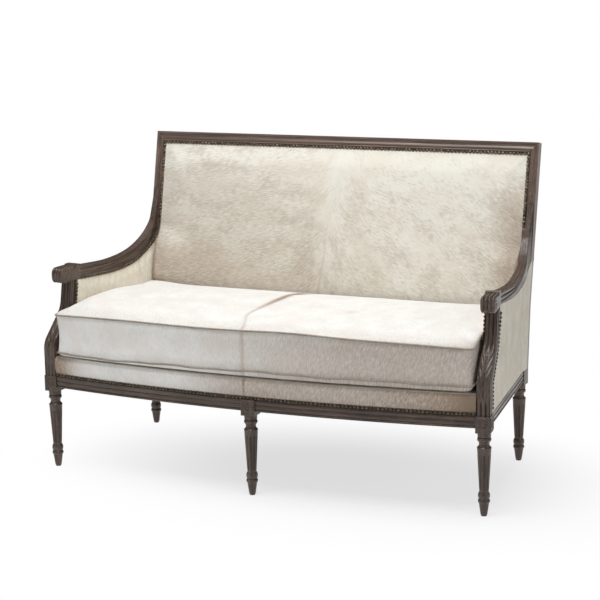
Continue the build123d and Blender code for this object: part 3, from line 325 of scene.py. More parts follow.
def smooth(value, low, high):
    """Rises from 0 to 1 between two limits, level at both ends."""
    share = np.clip((value - low) / (high - low), 0, 1)
    return share * share * (3 - 2 * share)


def hump(value, middle, width):
    """A bell curve of height 1 about a middle."""
    return np.exp(-(((value - middle) / width) ** 2))


def plan_point(origin, angle, run, out, height):
    """Points from an origin, along a run turned by an angle from straight back, and outwards."""
    run, out, height = np.broadcast_arrays(run, out, height)
    x = origin[0] - run * sin(angle) + out * cos(angle)
    y = origin[1] + run * cos(angle) + out * sin(angle)
    return np.stack((x, y, height), -1)


def side_point(run, out, height):
    """Points of the right side, by run back from the front leg, distance outwards and height."""
    return plan_point(LEG, SIDE_ANGLE, run, out, height)


def back_point(x, rise, proud):
    """Points of the raked back, by x, distance up the rake and how far they stand proud."""
    x, rise, proud = np.broadcast_arrays(x, rise, proud)
    y = BACK_FACE_Y + rise * sin(RAKE) - proud * cos(RAKE)
    return np.stack((x, y, RAKE_START + rise * cos(RAKE) + proud * sin(RAKE)), -1)


def bow_y(x, ahead):
    """Depth of the bowed front at x, a distance ahead of the leg line's arc."""
    return BOW_CENTRE_Y - np.sqrt((BOW_RADIUS + ahead) ** 2 - np.square(x))


def stile_run(height):
    """Run at which the raked face of the stile crosses the side."""
    return (BACK_FACE_Y + (height - RAKE_START) * tan(RAKE) - LEG.y) / cos(SIDE_ANGLE)


def rise_at(height):
    """Distance up the raked face at a height."""
    return (height - RAKE_START) / cos(RAKE)


# Where the crest's lower edge meets the back, as a distance up the rake
CREST_UNDER = rise_at(HEIGHT) - CREST_DEPTH

# The arm's inner face runs from the post to the edge of the stile's show face
STILE_INNER_X = BACK_HIGH.x + 0.0003
INNER_START = side_point(ARM_TAPER, -ARM_WIDTH / 2, 0.0)
INNER_REACH = BACK_FACE_Y + (ARM_UNDER - RAKE_START) * tan(RAKE) - INNER_START[1]
INNER_ANGLE = atan2(INNER_START[0] - STILE_INNER_X, INNER_REACH)
INNER_ORIGIN = plan_point(INNER_START, INNER_ANGLE, -ARM_TAPER, 0.0, 0.0)


def inner_point(run, out, height):
    """Points on the arm's inner face, by run, distance outwards and height."""
    return plan_point(INNER_ORIGIN, INNER_ANGLE, run, out, height)


def lengths_along(path):
    """Length of a line from its start to each of its points."""
    return np.concatenate(([0], np.cumsum(np.linalg.norm(np.diff(path, axis=0), axis=1))))


def stepped(path, step):
    """Points of a plane line at given lengths from its start."""
    length = lengths_along(path)
    return np.column_stack([np.interp(step, length, column) for column in path.T])


def rounded_path(points, radii, count):
    """Straight runs through points, each corner an arc of its radius, at equal steps of length."""
    points = np.asarray(points, float)
    stretches = [points[:1]]
    for before, corner, after, radius in zip(points[:-2], points[1:-1], points[2:], radii):
        into = (corner - before) / np.linalg.norm(corner - before)
        onward = (after - corner) / np.linalg.norm(after - corner)
        bend = into[0] * onward[1] - into[1] * onward[0]
        turn = atan2(abs(bend), float(into @ onward))
        side = np.sign(bend) * np.array((-into[1], into[0]))
        start = corner - into * radius * tan(turn / 2)
        angle = np.linspace(0, turn, 24)[:, None]
        stretches.append(start + side * radius * (1 - np.cos(angle)) + into * radius * np.sin(angle))
    stretches.append(points[-1:])
    path = np.concatenate(stretches)
    return stepped(path, np.linspace(0, lengths_along(path)[-1], count))


def smooth_path(points, count):
    """A smooth line through points: cubic pieces whose slopes come from each point's neighbours."""
    points = np.asarray(points, float)
    length = lengths_along(points)
    slope = np.gradient(points, length, axis=0)
    step = np.linspace(0, length[-1], count)
    piece = np.clip(np.searchsorted(length, step, side="right") - 1, 0, len(points) - 2)
    span = (length[piece + 1] - length[piece])[:, None]
    share = (step - length[piece])[:, None] / span
    rest = 1 - share
    start = points[piece] * (1 + 2 * share) * rest**2 + slope[piece] * span * share * rest**2
    end = points[piece + 1] * (3 - 2 * share) * share**2 - slope[piece + 1] * span * rest * share**2
    return start + end


def stile_out(run):
    """How far out the stile's outer face lies from the side line."""
    return (STILE_HIGH.x - LEG.x + run * sin(SIDE_ANGLE)) / cos(SIDE_ANGLE)


def arm_flare(run, height):
    """How far the arm bows outwards between post and stile, fading to nothing at the seat."""
    bow = smooth(run, 0.12, 0.34) * (1 - smooth(run, 0.47, 0.575))
    return ARM_FLARE * bow * smooth(height, 0.40, 0.55)


# Meshes


def grid_quads(rows, columns, closed_columns, first):
    """Corner numbers of the quads of a grid, whose last column may join its first."""
    index = first + np.arange(rows * columns).reshape(rows, columns)
    if closed_columns:
        index = np.hstack((index, index[:, :1]))
    corners = (index[:-1, :-1], index[:-1, 1:], index[1:, 1:], index[1:, :-1])
    return np.stack(corners, -1).reshape(-1, 4)


def mesh_from_grids(name, grids, hair=None):
    """One object from grids of points, each (points, closed columns), welded where they meet.

    Hair holds a vector for each point: distance along the hair, across it, and how brown it is: pale below
    0, and painted as dark as the shade between the nails above 2. That brownness is partly the hide's own
    colour and partly painted shade and light.
    """
    quads = []
    first = 0
    for points, closed_columns in grids:
        rows, columns = points.shape[:2]
        quads.append(grid_quads(rows, columns, closed_columns, first))
        first += rows * columns
    places = np.concatenate([points.reshape(-1, 3) for points, _ in grids])
    mesh = bpy.data.meshes.new(name)
    mesh.from_pydata(places.tolist(), [], np.concatenate(quads).tolist())
    if hair is not None:
        lay_hair(mesh, hair)
    weld(mesh)
    made = bpy.data.objects.new(name, mesh)
    bpy.context.scene.collection.objects.link(made)
    return made


def lay_hair(mesh, hair):
    """Store a hair vector for each point of a mesh."""
    lay = mesh.attributes.new("hair", "FLOAT_VECTOR", "POINT")
    lay.data.foreach_set("vector", np.ascontiguousarray(hair, np.float32).ravel())


def mesh_points(mesh):
    """Places of a mesh's points."""
    flat = np.empty(len(mesh.vertices) * 3, np.float32)
    mesh.vertices.foreach_get("co", flat)
    return flat.reshape(-1, 3).astype(float)


def weld(mesh):
    """Merge doubled points, drop empty faces and turn all faces outwards."""
    work = bmesh.new()
    work.from_mesh(mesh)
    bmesh.ops.remove_doubles(work, verts=work.verts, dist=1e-6)
    bmesh.ops.dissolve_degenerate(work, edges=work.edges, dist=1e-7)
    bmesh.ops.recalc_face_normals(work, faces=work.faces)
    work.to_mesh(mesh)
    work.free()


def shade(made, sharp_angle):
    """Shade smooth, with edges sharper than an angle kept crisp."""
    made.data.shade_smooth()
    made.data.set_sharp_from_angle(angle=radians(sharp_angle))


def mirrored(points):
    """The same points on the left side."""
    return points * np.array((-1.0, 1.0, 1.0))


# Both sides, with what turns the right side's points into theirs
SIDES = (("right", np.array), ("left", mirrored))


def capped(points):
    """A tube of rings with both ends closed to the middle of their ring."""
    first = np.broadcast_to(points[:1].mean(1, keepdims=True), points[:1].shape)
    last = np.broadcast_to(points[-1:].mean(1, keepdims=True), points[-1:].shape)
    return np.concatenate((first, points, last))


def edge_loop(points):
    """The border of a grid, once round."""
    return np.concatenate((points[0], points[1:, -1], points[-1, -2::-1], points[-2:0:-1, 0]))


def padded_grids(face, back):
    """Closed skin of a pad: its face, its back and the wall between their borders."""
    wall = np.stack((edge_loop(face), edge_loop(back)))
    return [(face, False), (back, False), (wall, True)]


def padded_hair(face_hair):
    """Hair vectors for the grids of a pad, the wall and back taking those of the face."""
    loop = edge_loop(face_hair)
    flat = face_hair.reshape(-1, 3)
    return np.concatenate((flat, flat, loop, loop))


def dress(made, body, slot, material, nodes, sharp_angle):
    """Give a piece its finish, the body it rides on and the CAD nodes it stands for."""
    shade(made, sharp_angle)
    made.data.materials.clear()
    made.data.materials.append(material)
    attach(made, body)
    if nodes:
        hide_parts(*nodes)
    return made


# Shader nodes


def new_group(name, inputs, outputs):
    """An empty shader node group with named sockets, and its input and output nodes."""
    group = bpy.data.node_groups.new(name, "ShaderNodeTree")
    for socket_name, kind in inputs:
        group.interface.new_socket(name=socket_name, in_out="INPUT", socket_type=kind)
    for socket_name, kind in outputs:
        group.interface.new_socket(name=socket_name, in_out="OUTPUT", socket_type=kind)
    return group, group.nodes.new("NodeGroupInput"), group.nodes.new("NodeGroupOutput")


def feed(tree, socket, value):
    """Link a socket to a socket, or set its value."""
    if isinstance(value, bpy.types.NodeSocket):
        tree.links.new(value, socket)
    else:
        socket.default_value = value


def calc(tree, operation, first, second=0.0, third=0.0):
    """One Math node."""
    made = tree.nodes.new("ShaderNodeMath")
    made.operation = operation
    for socket, value in zip(made.inputs, (first, second, third)):
        feed(tree, socket, value)
    return made.outputs[0]


def vector_of(tree, x, y, z):
    """One Combine XYZ node."""
    made = tree.nodes.new("ShaderNodeCombineXYZ")
    for socket, value in zip(made.inputs, (x, y, z)):
        feed(tree, socket, value)
    return made.outputs[0]


def noise(tree, vector, scale=1.0, detail=2.0, roughness=0.5):
    """One Noise Texture node's value."""
    made = tree.nodes.new("ShaderNodeTexNoise")
    feed(tree, made.inputs["Vector"], vector)
    made.inputs["Scale"].default_value = scale
    made.inputs["Detail"].default_value = detail
    made.inputs["Roughness"].default_value = roughness
    return made.outputs["Fac"]


def spread(tree, value, low, high, to_low=0.0, to_high=1.0):
    """Map a range of values onto another, clamped and smoothed."""
    made = tree.nodes.new("ShaderNodeMapRange")
    made.interpolation_type = "SMOOTHSTEP"
    for key, number in (("From Min", low), ("From Max", high), ("To Min", to_low), ("To Max", to_high)):
        made.inputs[key].default_value = number
    feed(tree, made.inputs["Value"], value)
    return made.outputs["Result"]


# Numbers of a Mix node's sockets once it is set to colour
MIX_SHARE, MIX_FIRST, MIX_SECOND, MIX_RESULT = 0, 6, 7, 2


def tint(tree, share, first, second):
    """Mix two colours by a share."""
    made = tree.nodes.new("ShaderNodeMix")
    made.data_type = "RGBA"
    for number, value in ((MIX_SHARE, share), (MIX_FIRST, first), (MIX_SECOND, second)):
        feed(tree, made.inputs[number], value)
    return made.outputs[MIX_RESULT]


def lay_noise(tree, along, across, scales, layer, detail):
    """Noise with a scale along the hair and one across it, on a layer of its own."""
    along = calc(tree, "MULTIPLY", along, scales[0])
    across = calc(tree, "MULTIPLY", across, scales[1])
    return noise(tree, vector_of(tree, along, across, layer), 1.0, detail, 0.6)


# Painted shade on the hide between the nails
NAIL_SHADE_COLOUR = (0.035, 0.026, 0.020, 1.0)


def hair_group():
    """Streaked hair: clumps and fine strands along the lay, broad patches, brown or pale places that are
    partly the hide's own colour and partly painted light and shade, and painted shade between the nails.
    """
    colours = (("Hair", "NodeSocketVector"), ("Pale", "NodeSocketColor"), ("Shade", "NodeSocketColor"))
    group, given, out = new_group(
        "Hair-on hide",
        (*colours, ("Brown", "NodeSocketColor"), ("Blush", "NodeSocketColor")),
        (("Color", "NodeSocketColor"), ("Height", "NodeSocketFloat")),
    )
    parts = group.nodes.new("ShaderNodeSeparateXYZ")
    group.links.new(given.outputs["Hair"], parts.inputs[0])
    along, across, brown = parts.outputs
    drift = noise(group, vector_of(group, along, across, 0.0), 16.0, 3.0)
    across = calc(group, "MULTIPLY_ADD", calc(group, "SUBTRACT", drift, 0.5), 0.024, across)
    clump = lay_noise(group, along, across, (56.0, 240.0), 0.0, 3.0)
    strand = lay_noise(group, along, across, (100.0, 620.0), 5.0, 2.0)
    patch = lay_noise(group, along, across, (12.0, 17.0), 9.0, 4.0)
    streak = calc(group, "MULTIPLY_ADD", clump, 0.70, calc(group, "MULTIPLY", strand, 0.30))
    level = calc(group, "MULTIPLY_ADD", patch, 0.9, calc(group, "MULTIPLY", streak, 1.4))
    # Below 0 the hair turns paler: painted light on the left of the seat's boxing, and paler places of the
    # back
    lift = calc(group, "MAXIMUM", calc(group, "MULTIPLY", brown, -1.0), 0.0)
    pale_share = calc(group, "ADD", spread(group, level, 0.88, 1.36), lift)
    coat = tint(group, pale_share, given.outputs["Shade"], given.outputs["Pale"])
    blush = noise(group, vector_of(group, along, across, 3.0), 9.0, 3.0)
    coat = tint(group, spread(group, blush, 0.45, 0.68, 0.0, 0.45), coat, given.outputs["Blush"])
    # Above 0 it turns brown: partly the hide's own brown, partly painted shade on the seat and border
    brown = calc(group, "MAXIMUM", brown, 0.0)
    brown_and_shade_share = calc(group, "MULTIPLY", brown, spread(group, streak, 0.66, 0.36, 0.58, 1.0))
    coat = tint(group, brown_and_shade_share, coat, given.outputs["Brown"])
    # From 1.2 up it turns to the painted shade between the nails
    coat = tint(group, spread(group, brown, 1.2, 2.0, 0.0, 0.85), coat, NAIL_SHADE_COLOUR)
    group.links.new(coat, out.inputs["Color"])
    group.links.new(streak, out.inputs["Height"])
    return group


def wood_group():
    """Straight grain: broad figure and fine pores along the vector's X."""
    group, given, out = new_group(
        "Wood grain",
        (("Vector", "NodeSocketVector"), ("Light", "NodeSocketColor"), ("Dark", "NodeSocketColor")),
        (("Color", "NodeSocketColor"), ("Roughness", "NodeSocketFloat"), ("Height", "NodeSocketFloat")),
    )
    figure = noise(group, given.outputs["Vector"], 1.0, 4.0, 0.6)
    fine = group.nodes.new("ShaderNodeMapping")
    fine.inputs["Scale"].default_value = (3.0, 7.0, 7.0)
    group.links.new(given.outputs["Vector"], fine.inputs["Vector"])
    pores = noise(group, fine.outputs["Vector"], 1.0, 2.0, 0.7)
    grain = calc(group, "MULTIPLY_ADD", pores, 0.45, calc(group, "MULTIPLY", figure, 0.75))
    shade_share = spread(group, grain, 0.40, 0.80)
    group.links.new(
        tint(group, shade_share, given.outputs["Dark"], given.outputs["Light"]), out.inputs["Color"]
    )
    group.links.new(spread(group, grain, 0.35, 0.85, 0.42, 0.25), out.inputs["Roughness"])
    group.links.new(pores, out.inputs["Height"])
    return group


def weave_group():
    """Plain weave: two sets of threads that pass over each other, on the vector's X and Y."""
    group, given, out = new_group(
        "Plain weave",
        (
            ("Vector", "NodeSocketVector"),
            ("Threads", "NodeSocketFloat"),
            ("Light", "NodeSocketColor"),
            ("Dark", "NodeSocketColor"),
        ),
        (("Color", "NodeSocketColor"), ("Height", "NodeSocketFloat")),
    )
    parts = group.nodes.new("ShaderNodeSeparateXYZ")
    group.links.new(given.outputs["Vector"], parts.inputs[0])
    turn = calc(group, "MULTIPLY", given.outputs["Threads"], pi)
    warp = calc(group, "SINE", calc(group, "MULTIPLY", parts.outputs[0], turn))
    weft = calc(group, "SINE", calc(group, "MULTIPLY", parts.outputs[1], turn))
    over = calc(group, "MULTIPLY_ADD", calc(group, "MULTIPLY", warp, weft), 0.5, 0.5)
    slub = noise(group, given.outputs["Vector"], 90.0, 3.0)
    height = calc(group, "MULTIPLY_ADD", slub, 0.6, calc(group, "MULTIPLY", over, 0.6))
    group.links.new(
        tint(group, spread(group, height, 0.2, 0.9), given.outputs["Dark"], given.outputs["Light"]),
        out.inputs["Color"],
    )
    group.links.new(height, out.inputs["Height"])
    return group


def patina_group():
    """Old metal: a dark skin rubbed bright in small places."""
    group, given, out = new_group(
        "Metal patina",
        (("Vector", "NodeSocketVector"), ("Rubbed", "NodeSocketColor"), ("Dark", "NodeSocketColor")),
        (("Color", "NodeSocketColor"), ("Roughness", "NodeSocketFloat")),
    )
    rub = spread(group, noise(group, given.outputs["Vector"], 160.0, 3.0, 0.6), 0.36, 0.66)
    group.links.new(tint(group, rub, given.outputs["Dark"], given.outputs["Rubbed"]), out.inputs["Color"])
    group.links.new(spread(group, rub, 0.0, 1.0, 0.48, 0.28), out.inputs["Roughness"])
    return group


GROUP_MAKERS = {
    "Hair-on hide": hair_group,
    "Wood grain": wood_group,
    "Plain weave": weave_group,
    "Metal patina": patina_group,
}


def group_node(tree, name):
    """Place a shared group in a material, making it the first time."""
    made = tree.nodes.new("ShaderNodeGroup")
    made.node_tree = bpy.data.node_groups.get(name) or GROUP_MAKERS[name]()
    return made


def new_material(name):
    """A material with its node tree and its Principled shader."""
    material = bpy.data.materials.new(name)
    material.use_nodes = True
    return material, material.node_tree, material.node_tree.nodes["Principled BSDF"]


def rgba(value):
    """A colour property as a socket value."""
    return (*value, 1.0)


def scaled(value, factor):
    """A colour property made lighter or darker by a factor."""
    return [factor * part for part in value]


def bump(tree, surface, height, strength, distance):
    """Feed a height to the shader's normal."""
    made = tree.nodes.new("ShaderNodeBump")
    made.inputs["Strength"].default_value = strength
    made.inputs["Distance"].default_value = distance
    tree.links.new(height, made.inputs["Height"])
    tree.links.new(made.outputs["Normal"], surface.inputs["Normal"])


def object_vector(tree, scale=(1.0, 1.0, 1.0)):
    """Object coordinates, scaled."""
    place = tree.nodes.new("ShaderNodeTexCoord")
    mapping = tree.nodes.new("ShaderNodeMapping")
    mapping.inputs["Scale"].default_value = scale
    tree.links.new(place.outputs["Object"], mapping.inputs["Vector"])
    return mapping.outputs["Vector"]


def hide_material(name, pale, dark, brown, nap):
    """Short hair on hide, following the piece's own hair attribute."""
    material, tree, surface = new_material(name)
    lay = tree.nodes.new("ShaderNodeAttribute")
    lay.attribute_name = "hair"
    coat = group_node(tree, "Hair-on hide")
    tree.links.new(lay.outputs["Vector"], coat.inputs["Hair"])
    blush = [one * two for one, two in zip(pale, (0.92, 0.86, 0.82))]
    for key, value in (("Pale", pale), ("Shade", dark), ("Brown", brown), ("Blush", blush)):
        coat.inputs[key].default_value = rgba(value)
    tree.links.new(coat.outputs["Color"], surface.inputs["Base Color"])
    surface.inputs["Roughness"].default_value = 0.78
    surface.inputs["Specular IOR Level"].default_value = 0.28
    surface.inputs["Sheen Weight"].default_value = 0.12
    surface.inputs["Sheen Roughness"].default_value = 0.45
    bump(tree, surface, coat.outputs["Height"], nap, 0.0008)
    return material


def wood_material(name, light, dark, stretch, shine):
    """Stained or bare wood, its grain stretched along one direction of the piece."""
    material, tree, surface = new_material(name)
    grain = group_node(tree, "Wood grain")
    tree.links.new(object_vector(tree, stretch), grain.inputs["Vector"])
    grain.inputs["Light"].default_value = rgba(light)
    grain.inputs["Dark"].default_value = rgba(dark)
    tree.links.new(grain.outputs["Color"], surface.inputs["Base Color"])
    tree.links.new(grain.outputs["Roughness"], surface.inputs["Roughness"])
    surface.inputs["Specular IOR Level"].default_value = shine
    bump(tree, surface, grain.outputs["Height"], 0.12, 0.0006)
    return material


def cloth_material(name, light, threads):
    """Plain woven cloth with a set number of threads to the metre."""
    material, tree, surface = new_material(name)
    weave = group_node(tree, "Plain weave")
    tree.links.new(object_vector(tree), weave.inputs["Vector"])
    weave.inputs["Threads"].default_value = threads
    weave.inputs["Light"].default_value = rgba(light)
    weave.inputs["Dark"].default_value = rgba(scaled(light, 0.6))
    tree.links.new(weave.outputs["Color"], surface.inputs["Base Color"])
    surface.inputs["Roughness"].default_value = 0.9
    bump(tree, surface, weave.outputs["Height"], 0.4, 0.0008)
    return material


def metal_material(name, rubbed, dark, metallic):
    """Metal with a worn patina."""
    material, tree, surface = new_material(name)
    patina = group_node(tree, "Metal patina")
    tree.links.new(object_vector(tree), patina.inputs["Vector"])
    patina.inputs["Rubbed"].default_value = rgba(rubbed)
    patina.inputs["Dark"].default_value = rgba(dark)
    tree.links.new(patina.outputs["Color"], surface.inputs["Base Color"])
    tree.links.new(patina.outputs["Roughness"], surface.inputs["Roughness"])
    surface.inputs["Metallic"].default_value = metallic
    return material


# Scales of the object's directions that draw the grain out along X, Y or Z
ALONG_X = (3.0, 70.0, 70.0)
ALONG_Y = (70.0, 3.0, 70.0)
ALONG_Z = (70.0, 70.0, 3.0)

# Finishes, by the names of their colours and how much lighter or darker than those they are
HIDES = {
    "Hide, back": ("hide_pale", "hide_shade", 0.24),
    "Hide, arms": ("arm_pale", "arm_shade", 0.24),
    "Hide, seat": ("seat_pale", "seat_shade", 0.08),
    # The piping's finish is darkened, partly its own brown and partly painted seam shade
    "Hide, piping": ("piping_pale", "piping_shade", 0.1),
}
WOODS = {
    "Show-wood, along X": ("wood_light", 1.0, "wood_dark", 1.0, ALONG_X, 0.5),
    "Show-wood, along Y": ("wood_light", 1.0, "wood_dark", 1.0, ALONG_Y, 0.5),
    "Show-wood, along Z": ("wood_light", 1.0, "wood_dark", 1.0, ALONG_Z, 0.5),
    # Lighter copies of the show-wood for the crest and back posts: painted light
    "Show-wood, back, along X": ("wood_light", 1.4, "wood_dark", 1.3, ALONG_X, 0.5),
    "Show-wood, back, along Z": ("wood_light", 1.4, "wood_dark", 1.3, ALONG_Z, 0.5),
    "Bare wood": ("bare_light", 1.0, "bare_dark", 1.0, ALONG_X, 0.2),
}
METALS = {
    "Bronze": ("bronze_light", 1.0, "bronze_dark", 1.0, 0.85),
    # A lighter copy of the bronze for the back's nails: painted glints on their crowns
    "Bronze, back": ("bronze_light", 1.8, "bronze_dark", 1.0, 0.85),
    "Spring steel": ("steel", 1.0, "steel", 0.6, 1.0),
    "Zip brass": ("brass", 1.0, "brass", 0.5, 1.0),
    "Glide": ("glide", 1.6, "glide", 1.0, 0.0),
}
CLOTHS = {
    "Lining cloth": ("lining", 900.0),
    "Burlap": ("burlap", 420.0),
    "Dust cloth": ("dust", 1100.0),
}


def shared_material(name):
    """One of the settee's finishes, made the first time it is asked for."""
    found = bpy.data.materials.get(name)
    if found:
        return found
    tone = bpy.context.scene.settee_colours
    if name in HIDES:
        pale, dark, nap = HIDES[name]
        return hide_material(name, getattr(tone, pale), getattr(tone, dark), tone.hair_brown_and_shade, nap)
    if name in CLOTHS:
        light, threads = CLOTHS[name]
        return cloth_material(name, getattr(tone, light), threads)
    make, finishes = (wood_material, WOODS) if name in WOODS else (metal_material, METALS)
    light, lighter, dark, darker, *rest = finishes[name]
    return make(name, scaled(getattr(tone, light), lighter), scaled(getattr(tone, dark), darker), *rest)


# Finishes of the frame's own nodes: by name where the grain has its own direction, else by slot
FINISH_OF_NODE = {
    # The crest and back posts take the lighter copies of the show-wood, painted light
    "crest_rail": "Show-wood, back, along X",
    "rear_post_left": "Show-wood, back, along Z",
    "rear_post_right": "Show-wood, back, along Z",
    "front_rail": "Show-wood, along X",
    "rear_rail": "Show-wood, along X",
    "side_rail_left": "Show-wood, along Y",
    "side_rail_right": "Show-wood, along Y",
}
FINISH_OF_SLOT = {
    "show_wood": "Show-wood, along Z",
    "plain_wood": "Bare wood",
    "bronze_nail": "Bronze",
    "spring_steel": "Spring steel",
    "glide_plastic": "Glide",
    "zip_metal": "Zip brass",
    "burlap": "Burlap",
    "dust_cloth": "Dust cloth",
    "lining_cloth": "Lining cloth",
    "foam": "Lining cloth",
    "hair_hide": "Hide, back",
}


# Operators, one for each piece or group of like pieces


class SETTEE_OT_finishes(Operator):
    """Finish the frame's own wood, nails, springs and cloths"""

    bl_idname = "settee.finishes"
    bl_label = "Frame finishes"

    def execute(self, context):
        for node, made in frame["nodes"].items():
            material = shared_material(FINISH_OF_NODE.get(node) or FINISH_OF_SLOT[SLOT_OF_NODE[node]])
            made.data.materials.clear()
            made.data.materials.append(material)
        return {"FINISHED"}


def ribbed_bar(low, high, inner, outer, reeds, depth, relief=None):
    """Skin of a bar between a low and a high line in side view, reeded along its high face.

    Its section goes under the bar, up the inner side, over the high face as arches |sin| of the
    width, and down the outer side. Both sides have grooves at set distances below the high face.
    """
    over = np.linspace(0, 1, 16 * reeds + 1)
    sides = np.linspace(0, 1, 61)[1:-1] ** 1.5
    under = np.linspace(1, 0, 7)
    plain = np.zeros(under.size)
    across = np.concatenate((under, np.zeros(sides.size), over, np.ones(sides.size)))
    down = np.concatenate((np.ones(under.size), sides[::-1], np.zeros(over.size), sides))
    arch = np.concatenate(
        (plain, np.zeros(sides.size), np.abs(np.sin(reeds * pi * over)) - 1, np.zeros(sides.size))
    )
    facing = np.concatenate((plain, np.ones(sides.size), np.zeros(over.size), -np.ones(sides.size)))
    thickness = np.linalg.norm(high - low, axis=1)[:, None]
    depth_down = thickness * down
    sink = facing * sum(cut * hump(depth_down, below, width) for cut, below, width in SIDE_GROOVES)
    lift = depth * np.broadcast_to(arch, depth_down.shape).copy()
    if relief is not None:
        start = under.size + sides.size
        lift[:, start : start + over.size] = relief(over)
    rise = (high - low) / thickness
    line = high[:, None] + rise[:, None] * (lift - depth_down)[..., None]
    out = inner[:, None] + (outer - inner)[:, None] * across + sink
    return line[..., 0], out, line[..., 1]


def squared(value):
    """Draw the sine or cosine of a round outline out towards a square."""
    return np.sign(value) * np.abs(value) ** 0.72


def arm_sweep(sizes):
    """Grid of the right arm's reeded sweep, between two smooth lines in side view.

    Its inner side runs to the stile's edge and is drawn in where it climbs beside the nails.
    """
    stations = 130
    top = smooth_path(ARM_TOP_LINE, stations)
    under = smooth_path(ARM_UNDER_LINE, stations)
    inner = -ARM_WIDTH / 2 + (under[:, 0] - ARM_TAPER) * tan(SIDE_ANGLE - INNER_ANGLE)
    inner += SWEEP_DRAW * smooth(top[:, 1], 0.66, 0.72)
    outer = np.maximum(ARM_WIDTH / 2, stile_out(under[:, 0]))
    run, out, height = ribbed_bar(under, top, inner, outer, 3, sizes.reed_depth)
    return capped(side_point(run, out + arm_flare(run, height), height))


def handhold_grids(sizes):
    """Grids of the right handhold: an outline carried across the arm's width, and its two cheeks.

    The outline goes forward underneath, round a squared nose, back on top and over a raised collar.
    It is grooved into four reeds.
    """
    radius = HOLD_HEIGHT / 2
    middle = HOLD_UNDER + radius
    top = middle + radius
    end = HOLD_END + HOLD_BEAD
    collar = HOLD_END - HOLD_COLLAR
    nose = np.linspace(-pi / 2, -3 * pi / 2, 40)
    corner = np.linspace(0, pi / 2, 8)
    under = np.linspace(end, HOLD_NOSE + radius, 14)[:-1]
    over = np.linspace(HOLD_NOSE + radius, collar, 12)[1:]
    run = np.concatenate(
        (
            under,
            HOLD_NOSE + radius + radius * squared(np.cos(nose)),
            over,
            collar + HOLD_BOW * (1 - np.cos(corner)),
            end - HOLD_BOW + HOLD_BOW * np.sin(corner),
        )
    )
    height = np.concatenate(
        (
            np.full(under.size, HOLD_UNDER),
            middle + radius * squared(np.sin(nose)),
            np.full(over.size, top),
            top + 0.5 * HOLD_BOW * np.sin(corner),
            top - 0.5 * HOLD_BOW + HOLD_BOW * np.cos(corner),
        )
    )
    smooth_collar = np.zeros(2 * corner.size)
    normal_run = np.concatenate((np.zeros(under.size), np.cos(nose), np.zeros(over.size), smooth_collar))
    normal_up = np.concatenate((-np.ones(under.size), np.sin(nose), np.ones(over.size), smooth_collar))
    across = np.linspace(0, 1, 65)
    groove = sizes.reed_depth * (1 - np.abs(np.sin(4 * pi * across)))
    edge = 0.0022 * (hump(across, 0, 0.05) + hump(across, 1, 0.05))
    out = (across - 0.5) * HOLD_WIDTH
    grip = side_point(
        run[:, None] - normal_run[:, None] * (groove + edge),
        out[None],
        height[:, None] - normal_up[:, None] * (groove + edge),
    )
    cheeks = []
    for column in (0, -1):
        hub = side_point(run.mean(), out[column], middle)
        share = np.array((1.0, 0.85, 0.5, 0.0))[:, None, None]
        cheeks.append((hub + (grip[:, column] - hub) * share, True))
    return [(np.concatenate((grip, grip[:1])), False), *cheeks]


class SETTEE_OT_arms(Operator):
    """Carve the reeded arms with their rolled handholds"""

    bl_idname = "settee.arms"
    bl_label = "Arms"

    def execute(self, context):
        sizes = context.scene.settee_sizes
        grids = [(arm_sweep(sizes), True), *handhold_grids(sizes)]
        wood = shared_material("Show-wood, along Y")
        for side, turn in SIDES:
            made = mesh_from_grids(f"carved_arm_{side}", [(turn(points), shut) for points, shut in grids])
            dress(made, "frame", "show_wood", wood, [f"arm_{side}"], 50)
        return {"FINISHED"}


def post_grids(sizes):
    """Grid of the right post: a bar between its front and rear lines, reeded, with leaves at the knee.

    The leaves are chevrons in the distance up the post and the distance from its middle.
    """
    stations = 120
    front = rounded_path(POST_FRONT, POST_FRONT_RADII, stations)
    rear = rounded_path(POST_REAR, POST_REAR_RADII, stations)
    share = np.linspace(0, 1, stations)[:, None]
    leaf_zone = smooth(share, 0.10, 0.18) * (1 - smooth(share, 0.56, 0.68))

    def relief(over):
        reeds = -1.3 * sizes.reed_depth * (1 - np.abs(np.sin(3 * pi * over)))
        aside = np.abs(over - 0.5) * 2
        lobes = np.abs(np.sin(pi * (9 * share - 1.6 * aside)))
        vein = 1 - hump(aside, 0, 0.10)
        leaf = sizes.carving_depth * ((0.25 + 0.75 * lobes) * vein * (1 - aside**3) - 0.4 * aside**2)
        return leaf_zone * leaf + (1 - leaf_zone) * reeds[None]

    half = np.full(stations, ARM_WIDTH / 2)
    inner = -half * (1 - 0.18 * smooth(share[:, 0], 0.45, 0.85))
    bar = ribbed_bar(rear, front, inner, half, 3, sizes.reed_depth, relief)
    return [(capped(side_point(*bar)), True)]


class SETTEE_OT_posts(Operator):
    """Carve the swept arm posts"""

    bl_idname = "settee.posts"
    bl_label = "Arm posts"

    def execute(self, context):
        grids = post_grids(context.scene.settee_sizes)
        wood = shared_material("Show-wood, along Z")
        for side, turn in SIDES:
            made = mesh_from_grids(f"carved_post_{side}", [(turn(points), shut) for points, shut in grids])
            dress(made, "frame", "show_wood", wood, [f"arm_post_{side}"], 50)
        return {"FINISHED"}


def rosette_height(x, y, depth):
    """Relief of a round flower of eight petals about a button, from x and y in units of its radius."""
    radius = np.hypot(x, y)
    angle = np.arctan2(y, x)
    petals = np.abs(np.cos(4 * angle)) ** 0.7 * hump(radius, 0.62, 0.27)
    button = np.sqrt(np.clip(1 - (radius / 0.26) ** 2, 0, 1))
    return depth * (0.75 * petals + 0.95 * button) * (radius < 1)


